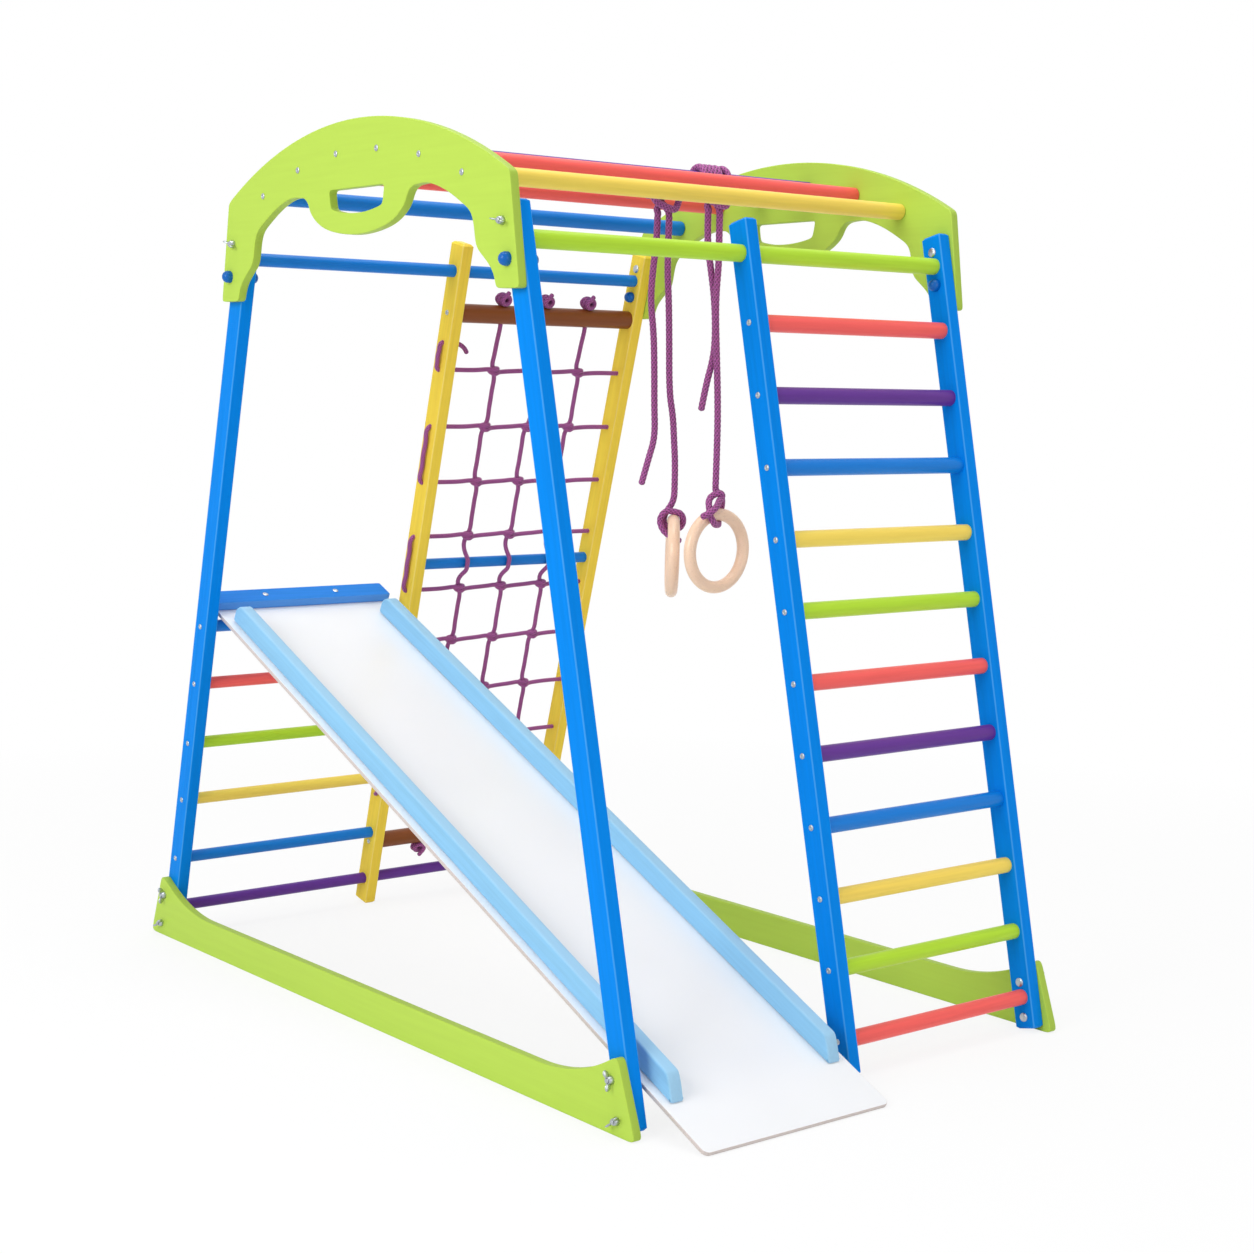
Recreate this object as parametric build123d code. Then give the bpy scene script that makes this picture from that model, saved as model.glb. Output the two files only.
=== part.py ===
# Indoor climbing tower with a slide, two hanging rings, a ladder, a rope net and monkey bars.
# Millimetres, +X to the right, +Y to the back, +Z up. The origin is on the floor, under the
# middle of the whole outline, and the slide runs down towards -Y.
from build123d import *
import math
import os

# Posts: six of them lean inwards, three in front and three behind
post_width = 22
post_depth = 35
post_length = 1211
post_lean = math.radians(13.7)
post_edge = 2
post_end_chamfer = 3
frame_half_depth = 620
bay_width = 378
middle_back_post_shift = 6

# Plates of plywood that tie the posts together at both ends
plate_thickness = 14
plate_edge = 1.2

# Arches on top
arch_top = 1306
arch_bottom = 1068
arch_inset = 244
arch_shoulder_inset = 24
arch_circle_excess = 22.7
arch_shoulder_fillet = 10
arch_foot_fillet = 6
# Under edge of an arch from the middle outwards, as shares of its half width and height
arch_under_edge_shares = [
    (0, 0.349), (0.138, 0.368), (0.250, 0.418), (0.298, 0.466), (0.322, 0.508),
    (0.335, 0.550), (0.356, 0.580), (0.399, 0.592), (0.447, 0.594), (0.497, 0.580),
    (0.598, 0.521), (0.686, 0.447), (0.714, 0.416), (0.730, 0.373), (0.742, 0.294),
    (0.755, 0.227), (0.782, 0.187), (0.819, 0.141), (0.848, 0.092), (0.862, 0.046),
    (0.870, 0)]
hand_hole_half_width = 70
hand_hole_bottom_half_width = 65
hand_hole_top = 1214
hand_hole_side_bottom = 1188
hand_hole_bottom = 1180
hand_hole_fillet = 6

# Planks at the floor
plank_end_reach = 32
plank_end_lean = 41
plank_end_height = 109
plank_middle_height = 57
plank_arc_run = 161
plank_corner_fillet = 8

# Round rods
rod_hole_clearance = 0.15
rod_end_edge = 1.5
blind_depth = 10
rung_radius = 12
rung_count = 11
rung_top_place = 1068.4
rung_pitch = 101.5
rail_place = 1165
front_rail_radius = 12
back_rail_radius = 10
rail_end_recess = 4
back_rod_radius = 10
hook_rung_place = 568.6
back_rung_places = [467.6, 360.2, 255.6, 145.1]
back_bottom_rail_place = 51.2
net_top_rod_radius = 15.5
net_top_rod_place = 1097
net_middle_rod_radius = 9.5
net_middle_rod_place = 659.4
net_bottom_rod_radius = 15
net_bottom_rod_place = 126
monkey_bar_radius = 12
monkey_bar_count = 6
monkey_circle_radius = 690
monkey_bar_cover = 42
monkey_bar_step = math.radians(8.5)

# Rope net, in the plane of the back posts
net_rope = 8
net_strand_count = 3
net_row_count = 9
net_upper_row_count = 4
net_row_top_place = 1002
net_row_pitch = 97.4
net_knot_radius = 7
net_stopper_radius = 9
net_rope_clearance = 0.3
net_bulge_half_height = 30
net_bulge_flat_half_height = 11
lace_rise = 0.3
lace_side_step = 14.2
tail_hole_place = 1047
tail_drop = 12
tail_length = 24

# Slide
slide_width = 340
slide_side_gap = 7
slide_thickness = 6
slide_run = 1340
slide_overhang = 45
slide_foot_fillet = 14
slide_hook_web = 8.5
hook_clearance = 0.3
hook_width = 34
hook_half_length = 24
hook_lip = 6
hook_edge = 2
hook_half_spacing = 70
rail_width = 22
rail_height = 32
rail_inset = 14
rail_start = 90
rail_rake = 16
rail_toe = 12
rail_end_gap = 25
rail_end_chamfer = 8
rail_edge = 3
board_width = 348
board_length = 39
board_thickness = 15
board_gap = 6
board_corner = 4
board_edge = 2

# Screws and bolts
screw_radius = 2
screw_clearance = 0.2
screw_head_radius = 4
screw_head_height = 1.6
screw_bite = 22
toe_screw_place = 26
slide_screw_radius = 2.5
slide_screw_head_radius = 5
slide_screw_bite = 27
arch_bolt_place = 1186
cap_bolt_place = 1137
plank_bolt_places = [76, 22]
bolt_radius = 3
bolt_clearance = 0.15
bolt_head_radius = 7
bolt_head_height = 3
bolt_end = 9
nut_radius = 6
nut_height = 7
wing_reach = 14
wing_height = 11
wing_thickness = 2.4
cap_radius = 9
cap_height = 13
cap_crown_share = 0.8

# Rings on ropes
rope_radius = 5.5
rope_bar_clearance = 0.3
rope_pivot_drop = 54
hitch_turn_count = 4
hitch_turn_pitch = 12.5
hitch_turn_middle = -32
hitch_knot_left = 54
hitch_knot_right = 12
hitch_knot_front = 6
hitch_knot_back = 19
hitch_knot_top = 17
hitch_knot_bottom = 38
hitch_knot_fillet = 5
ring_circle_radius = 58.5
ring_tube_radius = 10
knot_rope_clearance = 0.3
knot_lump_radius = 15
knot_lump_lift = 30
knot_top_cut = 13.5
knot_end_length = 20
front_knot_end_turn = 50
back_knot_end_turn = -50
front_rope_place = 220
back_rope_place = 206
front_ring_turn = 0
back_ring_turn = -130
# How far a ring's middle hangs beside its knot, in the ring's own plane
front_ring_slip = 8
back_ring_slip = 0
# Arc at a rope's corner, as a share of its shorter run
rope_arc_share = 0.45
# Routes from the bar's axis, as steps to the right, back and up: ropes, then loose ends
front_rope_route = [
    (0, 0, -54), (1, 0, -92), (2, 0, -125), (-1, 0, -165), (0, 0, -205), (5, 0, -260),
    (11, 0, -325), (14, 0, -390), (14, 0, -468)]
back_rope_route = [
    (0, 0, -54), (0, 0, -92), (0.5, 0, -135), (5, 0, -172), (9, 0, -235), (13, 0, -320),
    (23, 0, -358), (27, 0, -395), (32, 0, -440), (32, 0, -483)]
front_tail_route = [
    (-12.5, 13, -54), (-12.5, 13, -88), (-3, 13, -128), (8, 13, -175), (13, 13, -232),
    (10, 13, -268), (-3.5, 13, -308), (-12, 13, -349)]
back_tail_route = [
    (-13, 13, -54), (-13, 13, -82), (-20, 13, -135), (-22, 13, -180), (-13, 13, -228),
    (-9, 13, -290), (-7, 13, -340), (-3, 13, -392), (-16, 13, -427), (-30, 13, -469)]

# One overrun for all cuts
overrun = 20

post_pitch = bay_width + post_width
outer_face = post_pitch + post_width / 2
lean_sin = math.sin(post_lean)
lean_cos = math.cos(post_lean)
hook_drop = back_rod_radius + hook_clearance + slide_hook_web
hook_height = hook_rung_place * lean_cos
slide_slope = math.atan(hook_drop / slide_run) + math.asin(
    hook_height / math.hypot(slide_run, hook_drop))
hook_depth = frame_half_depth - hook_rung_place * lean_sin
plank_half_length = frame_half_depth + plank_end_reach
plank_end_top_half_length = plank_half_length - plank_end_lean
plank_arc_start = plank_end_top_half_length - plank_arc_run
slide_foot_depth = hook_depth - slide_run * math.cos(slide_slope) - hook_drop * math.sin(slide_slope)
frame_middle = -(slide_foot_depth + plank_half_length) / 2
arch_half_width = frame_half_depth - arch_inset
arch_shoulder_half_width = arch_half_width - arch_shoulder_inset
arch_circle_radius = monkey_circle_radius + arch_circle_excess
arch_shoulder_height = arch_top - arch_circle_radius + math.sqrt(
    arch_circle_radius ** 2 - arch_shoulder_half_width ** 2)
monkey_circle_height = arch_top - monkey_bar_cover - monkey_circle_radius
net_left = middle_back_post_shift + post_width / 2
net_right = post_pitch - post_width / 2
net_row_places = [net_row_top_place - net_row_pitch * i for i in range(net_row_count)]
rung_places = [rung_top_place - rung_pitch * i for i in range(rung_count)]
front, back = -1, 1


def post_point(side, place, out=0):
    """Depth and height of a point at a distance along the posts' centre line."""
    depth = frame_middle + side * (frame_half_depth - place * lean_sin + out * lean_cos)
    return depth, place * lean_cos + out * lean_sin


def post_plane(x, side):
    """Frame of a post: X across, Y out of its wide face's middle line, Z along it."""
    return Plane(origin=(x, frame_middle + side * frame_half_depth, 0),
                 x_dir=(1, 0, 0), z_dir=(0, -side * lean_sin, lean_cos))


def along_x(x_start, x_end, depth, height, radius, edge=0):
    """Round bar along X, with eased ends where an edge is given."""
    plane = Plane(origin=(x_start, depth, height), x_dir=(0, 1, 0), z_dir=(1, 0, 0))
    length = x_end - x_start
    bar = plane * Cylinder(radius, length, align=(Align.CENTER, Align.CENTER, Align.MIN))
    if edge:
        bar = chamfer(bar.edges().filter_by(GeomType.CIRCLE), edge)
    return bar


def save(node, shape):
    """Write one node's solids to its own file."""
    shape.label = node
    export_step(shape, os.path.join("parts", node + ".step"))


def screw_at(x_face, into, depth, height):
    """Pan head screw on a face square to X, with its shank running into the wood."""
    head = along_x(*sorted((x_face, x_face - into * screw_head_height)), depth, height, screw_head_radius)
    shank = along_x(*sorted((x_face, x_face + into * screw_bite)), depth, height, screw_radius)
    return head + shank


def screw_hole(x_face, into, depth, height, radius=screw_radius):
    """Hole for a screw's shank, open past the face that its head lies on."""
    ends = sorted((x_face - into * overrun, x_face + into * (screw_bite + screw_clearance)))
    return along_x(*ends, depth, height, radius + screw_clearance)


left_x, middle_x, right_x = -post_pitch, 0, post_pitch
half_post = post_width / 2
back_middle_x = middle_x + middle_back_post_shift


def screwed_ends(middle, place, outer):
    """Faces that a rod's screws go in from: the outer one only where no plate covers it."""
    ends = [(middle - half_post, 1)] if middle > left_x else []
    height = place * lean_cos
    if plank_end_height + screw_head_radius < height < arch_bottom - screw_head_radius:
        ends.append((outer * outer_face, -outer))
    return ends


# Every rod: name, posts' side, place along the posts, radius, both ends, and screwed ends
rods = []
for number, place in enumerate(rung_places, 1):
    rods.append(("ladder_rung_%d" % number, front, place, rung_radius,
                 middle_x + half_post - blind_depth, right_x - half_post + blind_depth,
                 screwed_ends(middle_x, place, 1)))
rods.append(("front_top_rail", front, rail_place, front_rail_radius,
             left_x - half_post + rail_end_recess, right_x + half_post - rail_end_recess, []))
rods.append(("back_top_rail", back, rail_place, back_rail_radius,
             left_x - half_post + rail_end_recess, right_x + half_post - rail_end_recess, []))
back_left_end = left_x + half_post - blind_depth
back_middle_end = back_middle_x - half_post + blind_depth
rods.append(("hook_rung", back, hook_rung_place, back_rod_radius, back_left_end, back_middle_end,
             screwed_ends(left_x, hook_rung_place, -1)))
for number, place in enumerate(back_rung_places, 1):
    rods.append(("back_rung_%d" % number, back, place, back_rod_radius,
                 back_left_end, back_middle_end, screwed_ends(left_x, place, -1)))
back_right_end = right_x - half_post + blind_depth
rods.append(("back_bottom_rail", back, back_bottom_rail_place, back_rod_radius,
             back_left_end, back_right_end, []))
net_start = back_middle_x + half_post - blind_depth
rods.append(("net_top_rod", back, net_top_rod_place, net_top_rod_radius, net_start, back_right_end,
             screwed_ends(back_middle_x, net_top_rod_place, 1)))
rods.append(("net_middle_rod", back, net_middle_rod_place, net_middle_rod_radius,
             net_start, back_right_end, []))
rods.append(("net_bottom_rod", back, net_bottom_rod_place, net_bottom_rod_radius,
             net_start, back_right_end, screwed_ends(back_middle_x, net_bottom_rod_place, 1)))


def make_rod(rod):
    """Wooden rod with a pilot hole in each screwed end."""
    name, side, place, radius, start, end, screwed = rod
    depth, height = post_point(side, place)
    bar = along_x(start, end, depth, height, radius, rod_end_edge)
    for face, into in screwed:
        bar -= screw_hole(face, into, depth, height)
    if name in ("net_top_rod", "net_bottom_rod"):
        for x in net_strand_places():
            bar -= post_plane(0, back) * Pos(x, 0, place) * Cylinder(
                net_rope / 2 + net_rope_clearance, radius * 2 + overrun)
    return bar


# Bolts along X that tie the posts to the plates: posts' side and place, on both ends
plate_bolts = [(side, place) for side in (front, back) for place in [arch_bolt_place] + plank_bolt_places]
cap_bolts = [(side, cap_bolt_place) for side in (front, back)]


def bolt_hole(side, place, end):
    """Hole through a post and its plate at one end of the tower."""
    depth, height = post_point(side, place)
    inner = end * (post_pitch - half_post - overrun)
    outer = end * (outer_face + plate_thickness + overrun)
    return along_x(*sorted((inner, outer)), depth, height, bolt_radius + bolt_clearance)


def net_hole(side_x, place, shift=0):
    """Hole for the net's rope across a back post."""
    depth, height = post_point(back, place, shift)
    radius = net_rope / 2 + net_rope_clearance
    return along_x(side_x - post_width, side_x + post_width, depth, height, radius)


def make_post(x, side):
    """Post with eased edges, its rod sockets, bolt holes and holes for the net."""
    start = post_depth / 2 * math.tan(post_lean)
    body = Pos(0, 0, start) * Box(post_width, post_depth, post_length - start,
                                  align=(Align.CENTER, Align.CENTER, Align.MIN))
    ends = body.edges().group_by(Axis.Z)
    long_edges = body.edges().filter_by(Axis.Z)
    body = chamfer(ends[0] + ends[-1], post_end_chamfer)
    body = fillet(body.edges().filter_by(Axis.Z), post_edge)
    post = post_plane(x, side) * body
    for rod in rods:
        name, rod_side, place, radius, rod_start, rod_end, screwed = rod
        if rod_side != side or rod_end < x - half_post or rod_start > x + half_post:
            continue
        depth, height = post_point(side, place)
        post -= along_x(rod_start, rod_end, depth, height, radius + rod_hole_clearance)
        for face, into in screwed:
            if abs(face - x) <= half_post:
                post -= screw_hole(face, into, depth, height)
    if abs(x) > post_width:
        for bolt_side, place in plate_bolts + cap_bolts:
            if bolt_side == side:
                post -= bolt_hole(side, place, math.copysign(1, x))
    if side == back and x > -post_width:
        for place in net_row_places:
            post -= net_hole(x, place)
    if side == back and abs(x) < post_width:
        post -= net_hole(x, tail_hole_place)
    if side == front and x == middle_x:
        depth, height = post_point(front, toe_screw_place)
        post -= screw_hole(x - half_post, 1, depth, height)
    return post


def arch_face():
    """Outline of an arch in the Y-Z plane, without its holes."""
    rise = arch_top - arch_bottom
    under = [(arch_half_width * a, arch_bottom + rise * b) for a, b in arch_under_edge_shares]
    under_line = [(-y, z) for y, z in reversed(under)] + under[1:]
    foot = under[-1][0]
    with BuildSketch(Plane.YZ) as sketch:
        with BuildLine():
            ThreePointArc((-arch_shoulder_half_width, arch_shoulder_height), (0, arch_top),
                          (arch_shoulder_half_width, arch_shoulder_height))
            Polyline((arch_shoulder_half_width, arch_shoulder_height),
                     (arch_half_width, arch_bottom), (foot, arch_bottom))
            Spline(*under_line)
            Polyline((-foot, arch_bottom), (-arch_half_width, arch_bottom),
                     (-arch_shoulder_half_width, arch_shoulder_height))
        make_face()
        shoulders = sketch.vertices().group_by(Axis.Y)[-1]
        fillet(shoulders, arch_shoulder_fillet)
        outer_feet = [v for v in sketch.vertices() if abs(v.X) > (arch_half_width + foot) / 2
                      and v.Y < arch_bottom + arch_foot_fillet]
        fillet(outer_feet, arch_foot_fillet)
    return sketch.sketch


def hand_hole_face():
    """Outline of the hand hole in an arch."""
    with BuildSketch(Plane.YZ) as sketch:
        with BuildLine():
            Polyline((-hand_hole_bottom_half_width, hand_hole_side_bottom),
                     (-hand_hole_half_width, hand_hole_top), (hand_hole_half_width, hand_hole_top),
                     (hand_hole_bottom_half_width, hand_hole_side_bottom))
            ThreePointArc((hand_hole_bottom_half_width, hand_hole_side_bottom),
                          (0, hand_hole_bottom),
                          (-hand_hole_bottom_half_width, hand_hole_side_bottom))
        make_face()
        fillet(sketch.vertices(), hand_hole_fillet)
    return sketch.sketch


def plank_face():
    """Outline of a floor plank: low in the middle, with arcs up to both ends."""
    rise = plank_end_height - plank_middle_height
    plank_arc_radius = (plank_arc_run ** 2 + rise ** 2) / (rise * 2)
    centre_height = plank_middle_height + plank_arc_radius
    middle = plank_arc_run / 2
    middle_height = centre_height - math.sqrt(plank_arc_radius ** 2 - middle ** 2)
    with BuildSketch(Plane.YZ) as sketch:
        with BuildLine():
            Polyline((-plank_arc_start, plank_middle_height), (plank_arc_start, plank_middle_height))
            ThreePointArc((plank_arc_start, plank_middle_height),
                          (plank_arc_start + middle, middle_height),
                          (plank_end_top_half_length, plank_end_height))
            Polyline((plank_end_top_half_length, plank_end_height), (plank_half_length, 0),
                     (-plank_half_length, 0), (-plank_end_top_half_length, plank_end_height))
            ThreePointArc((-plank_end_top_half_length, plank_end_height),
                          (-plank_arc_start - middle, middle_height),
                          (-plank_arc_start, plank_middle_height))
        make_face()
        ends = [v for v in sketch.vertices() if abs(v.X) > plank_arc_start + middle]
        fillet(ends, plank_corner_fillet)
    return sketch.sketch


def monkey_bar_point(number):
    """Depth and height of a monkey bar, counted from the back."""
    angle = ((monkey_bar_count + 1) / 2 - number) * monkey_bar_step
    depth = frame_middle + monkey_circle_radius * math.sin(angle)
    return depth, monkey_circle_height + monkey_circle_radius * math.cos(angle)


def make_plate(face, end, bolts, with_bars):
    """Plate of plywood at one end of the tower, drilled for its bolts and screws."""
    start = outer_face if end > 0 else -outer_face - plate_thickness
    plate = Pos(start, frame_middle, 0) * extrude(face, plate_thickness)
    rims = plate.edges().filter_by(lambda e: e.length > plate_edge * 2 and
                                   abs(e.center().X - start - plate_thickness / 2)
                                   > plate_thickness / 2 - plate_edge)
    plate = chamfer(rims, plate_edge)
    for side, place in bolts:
        plate -= bolt_hole(side, place, end)
    if with_bars:
        for number in range(1, monkey_bar_count + 1):
            plate -= screw_hole(end * (outer_face + plate_thickness), -end, *monkey_bar_point(number))
    return plate


def make_monkey_bar(number):
    """Bar between the arches, with a pilot hole in each end."""
    depth, height = monkey_bar_point(number)
    bar = along_x(-outer_face, outer_face, depth, height, monkey_bar_radius, rod_end_edge)
    for end in (-1, 1):
        bar -= screw_hole(end * (outer_face + plate_thickness), -end, depth, height)
    return bar


def carriage_bolt(side, place, end):
    """Bolt with a round head inside the post and its thread outside the plate."""
    depth, height = post_point(side, place)
    inner = end * (post_pitch - half_post)
    outer = end * (outer_face + plate_thickness + bolt_end)
    shank = along_x(*sorted((inner, outer)), depth, height, bolt_radius)
    head = along_x(*sorted((inner, inner - end * bolt_head_height)), depth, height, bolt_head_radius)
    return shank + head


def wing_nut(side, place, end):
    """Nut with two wings, screwed onto a carriage bolt against the plate."""
    depth, height = post_point(side, place)
    face = end * (outer_face + plate_thickness)
    body = along_x(*sorted((face, face + end * nut_height)), depth, height, nut_radius)
    wings = Pos(face + end * (nut_height - wing_thickness), depth, height) * Rot(
        X=math.degrees(side * post_lean)) * Box(
        wing_height, wing_reach * 2, wing_thickness)
    wings = Pos(end * (wing_height / 2 - nut_height / 2 + wing_thickness), 0, 0) * wings
    bore = along_x(*sorted((face - end * overrun, face + end * overrun)), depth, height,
                   bolt_radius + bolt_clearance)
    return body + wings - bore


def cap_bolt(side, place, end):
    """Bolt with a round cap on each of its ends."""
    depth, height = post_point(side, place)
    inner = end * (post_pitch - half_post)
    outer = end * (outer_face + plate_thickness)
    bolt = along_x(*sorted((inner, outer)), depth, height, bolt_radius)
    for face, way in ((inner, -end), (outer, end)):
        cap = along_x(*sorted((face, face + way * cap_height)), depth, height, cap_radius)
        crown = cap.edges().filter_by(GeomType.CIRCLE).sort_by(Axis.X)[-1 if way > 0 else 0]
        bolt += fillet(crown, cap_radius * cap_crown_share)
    return bolt


def net_strand_places():
    """X of each upright strand, evenly spaced between the back posts."""
    span = net_right - net_left
    return [net_left + span * i / (net_strand_count + 1) for i in range(1, net_strand_count + 1)]


def net_panel(rows, top, bottom):
    """Part of the net as one flat holed face, in the posts' plane."""
    middle = (net_left + net_right) / 2
    with BuildSketch(Plane.XZ) as sketch:
        for x in net_strand_places():
            with Locations((x - middle, (top + bottom) / 2)):
                Rectangle(net_rope, top - bottom)
        for place in rows:
            with Locations((0, place)):
                Rectangle(net_right - net_left - net_rope, net_rope)
            for x in net_strand_places():
                with Locations((x - middle, place)):
                    Circle(net_knot_radius)
    return extrude(sketch.sketch, net_rope / 2, both=True)


def net_bulge(x):
    """Strand between two rows that bows out in front of the middle rod."""
    out = net_middle_rod_radius + net_rope_clearance + net_rope / 2
    upper, lower = net_row_places[net_upper_row_count - 1:net_upper_row_count + 1]
    middle = net_middle_rod_place
    with BuildSketch(Plane.YZ) as sketch:
        with BuildLine() as line:
            Polyline((0, upper), (0, middle + net_bulge_half_height),
                     (-out, middle + net_bulge_flat_half_height),
                     (-out, middle - net_bulge_flat_half_height),
                     (0, middle - net_bulge_half_height), (0, lower))
        trace(line.line, net_rope)
    return Pos(x, 0, 0) * extrude(sketch.sketch, net_rope / 2, both=True)


def strand_end(x, place, rod_radius, way):
    """Round end of a strand, through a thick rod to the stopper knot on its far side."""
    reach = rod_radius + net_rope_clearance
    start = place - way * (reach + net_rope)
    knot = place + way * (reach + net_stopper_radius)
    rope = Pos(x, 0, (start + knot) / 2) * Cylinder(net_rope / 2, abs(knot - start))
    return rope + Pos(x, 0, knot) * Sphere(net_stopper_radius)


def lace(x_face, way, upper, lower, step=0):
    """Rope along a post's outer face, from one row's hole to the next."""
    x = x_face + way * (net_rope / 2 + lace_rise)
    half = net_rope / 2
    upright = Pos(x, step, (upper + lower) / 2) * Cylinder(half, upper - lower)
    ends = upright
    for place in (upper, lower):
        ends += Pos(x, step, place) * Sphere(half)
        if step:
            ends += Pos(x, step / 2, place) * Rot(X=90) * Cylinder(half, abs(step))
            ends += Pos(x, 0, place) * Sphere(half)
    return ends


def row_lead(x_start, x_end, place):
    """Round rope of a row where it passes through a post."""
    length = x_end - x_start
    return Pos((x_start + x_end) / 2, 0, place) * Rot(Y=90) * Cylinder(net_rope / 2, length)


def make_net():
    """Climbing net: rows and strands, loops on the rods and lacing through the posts."""
    rows = net_row_places
    top_end = net_top_rod_place - net_top_rod_radius - net_rope_clearance - net_rope / 2
    bottom_end = net_bottom_rod_place + net_bottom_rod_radius + net_rope_clearance + net_rope / 2
    middle = (net_left + net_right) / 2
    split = net_upper_row_count
    net = Pos(middle, 0, 0) * (net_panel(rows[:split], top_end, rows[split - 1])
                               + net_panel(rows[split:], rows[split], bottom_end))
    for x in net_strand_places():
        net += net_bulge(x)
        net += strand_end(x, net_top_rod_place, net_top_rod_radius, 1)
        net += strand_end(x, net_bottom_rod_place, net_bottom_rod_radius, -1)
    left_face = net_left - post_width
    right_face = net_right + post_width
    reach = net_rope / 2 + lace_rise
    for place in rows:
        net += row_lead(left_face - reach, net_left + net_rope, place)
        net += row_lead(net_right - net_rope, right_face + reach, place)
    net += row_lead(left_face - reach, net_left + net_rope, tail_hole_place)
    tail_x = net_left + net_rope
    net += Pos(tail_x, 0, tail_hole_place) * Sphere(net_rope / 2)
    net += Pos(tail_x + tail_length / 2, 0, tail_hole_place - tail_drop / 2) * Rot(
        Y=90 + math.degrees(math.atan2(tail_drop, tail_length))) * Cylinder(
        net_rope / 2, math.hypot(tail_drop, tail_length))
    net += lace(left_face, -1, tail_hole_place, rows[0])
    for i in range(1, net_row_count - 1, 2):
        crossed = any(rows[i + 1] < place < rows[i] for place in [hook_rung_place] + back_rung_places)
        step = -lace_side_step if crossed else 0
        net += lace(left_face, -1, rows[i], rows[i + 1], step)
    for i in range(0, net_row_count - 1, 2):
        net += lace(right_face, 1, rows[i], rows[i + 1])
    return post_plane(0, back) * net


# Slide: its own frame has Y up the slope and Z out of the sheet, with zero at the hook rung
hook_point = post_point(back, hook_rung_place)
bay_left = left_x + half_post
slide_middle = bay_left + slide_side_gap + slide_width / 2
slide_frame = Plane(origin=(slide_middle, hook_point[0], hook_point[1]), x_dir=(1, 0, 0),
                    z_dir=(0, -math.sin(slide_slope), math.cos(slide_slope)))
sheet_top = hook_drop + slide_thickness
hook_places = [-hook_half_spacing, hook_half_spacing]


def slide_screw(x, radius, head_radius, grow=0):
    """Screw down through the top board and the sheet into a hook."""
    top = sheet_top + board_thickness
    y = board_gap + board_length / 2
    shank = Pos(x, y, top - slide_screw_bite / 2) * Cylinder(radius, slide_screw_bite + grow * 2)
    head = Pos(x, y, top + screw_head_height / 2) * Cylinder(head_radius, screw_head_height)
    return shank, head


def slide_screw_holes():
    """Both screws' holes through the slide's pieces."""
    radius = slide_screw_radius + screw_clearance
    holes = [slide_screw(x, radius, radius, screw_clearance)[0] for x in hook_places]
    return holes[0] + holes[1]


def make_slide_sheet():
    """Smooth sheet that one slides on, with round corners at its foot."""
    length = slide_run + slide_overhang
    middle = (slide_overhang - slide_run) / 2
    sheet = Pos(0, middle, hook_drop + slide_thickness / 2) * Box(slide_width, length, slide_thickness)
    feet = sheet.edges().filter_by(Axis.Z).group_by(Axis.Y)[0]
    sheet = fillet(feet, slide_foot_fillet)
    return slide_frame * (sheet - slide_screw_holes())


def make_slide_rail(side):
    """Side rail, raked at its foot and chamfered at its top end."""
    low = -slide_run + rail_start
    high = -rail_end_gap
    with BuildSketch(Plane.YZ) as sketch:
        with BuildLine():
            Polyline((low, sheet_top), (high, sheet_top), (high, sheet_top + rail_height - rail_end_chamfer),
                     (high - rail_end_chamfer, sheet_top + rail_height),
                     (low + rail_rake + rail_toe, sheet_top + rail_height),
                     (low + rail_rake, sheet_top + rail_height - rail_toe), (low, sheet_top), close=True)
        make_face()
    rail = extrude(sketch.sketch, rail_width / 2, both=True)
    tops = rail.edges().filter_by(Axis.Y).group_by(Axis.Z)[-1]
    rail = fillet(tops, rail_edge)
    place = side * (slide_width / 2 - rail_inset - rail_width / 2)
    return slide_frame * (Pos(place, 0, 0) * rail)


def make_slide_board():
    """Board across the top of the slide."""
    board = Pos(0, board_gap + board_length / 2, sheet_top + board_thickness / 2) * Box(
        board_width, board_length, board_thickness)
    board = fillet(board.edges().filter_by(Axis.Z), board_corner)
    board = fillet(board.edges().group_by(Axis.Z)[-1], board_edge)
    return slide_frame * (board - slide_screw_holes())


def make_slide_hooks():
    """Two blocks under the sheet, each with a notch that sits on the hook rung."""
    notch = back_rod_radius + hook_clearance
    hooks = []
    for x in hook_places:
        low = -hook_lip
        block = Pos(x, (board_gap + board_length - hook_half_length) / 2, (hook_drop + low) / 2) * Box(
            hook_width, board_gap + board_length + hook_half_length, hook_drop - low)
        block = fillet(block.edges().filter_by(Axis.X).group_by(Axis.Z)[0], hook_edge)
        block -= Pos(x, 0, 0) * Rot(Y=90) * Cylinder(notch, hook_width + overrun)
        block -= Pos(x, 0, -overrun / 2) * Box(hook_width + overrun, notch * 2, overrun)
        hooks.append(slide_frame * (block - slide_screw_holes()))
    return Compound(children=hooks)


def make_slide_screws():
    """The two screws of the top board."""
    screws = []
    for x in hook_places:
        shank, head = slide_screw(x, slide_screw_radius, slide_screw_head_radius)
        screws.append(slide_frame * (shank + head))
    return Compound(children=screws)


def rope_tube(route, start):
    """Rope along straight runs joined by tangent arcs, its length and its least arc."""
    points = [Vector(*start) + Vector(*step) for step in route]
    radii = []
    for before, here, after in zip(points, points[1:], points[2:]):
        run = min((here - before).length, (after - here).length)
        turn = math.radians((here - before).get_angle(after - here))
        radii.append(rope_arc_share * run / math.tan(turn / 2))
    path = FilletPolyline(*points, radius=radii)
    first = Plane(origin=points[0], z_dir=points[1] - points[0])
    tube = sweep(first * Circle(rope_radius), path=path)
    share = tube.volume / (math.pi * rope_radius ** 2 * path.length)
    print("rope length %.1f, least arc %.0f, volume share %.4f" % (path.length, min(radii), share))
    return tube


def bar_point(number, x):
    """Point on a monkey bar's axis."""
    return (x,) + monkey_bar_point(number)


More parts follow.
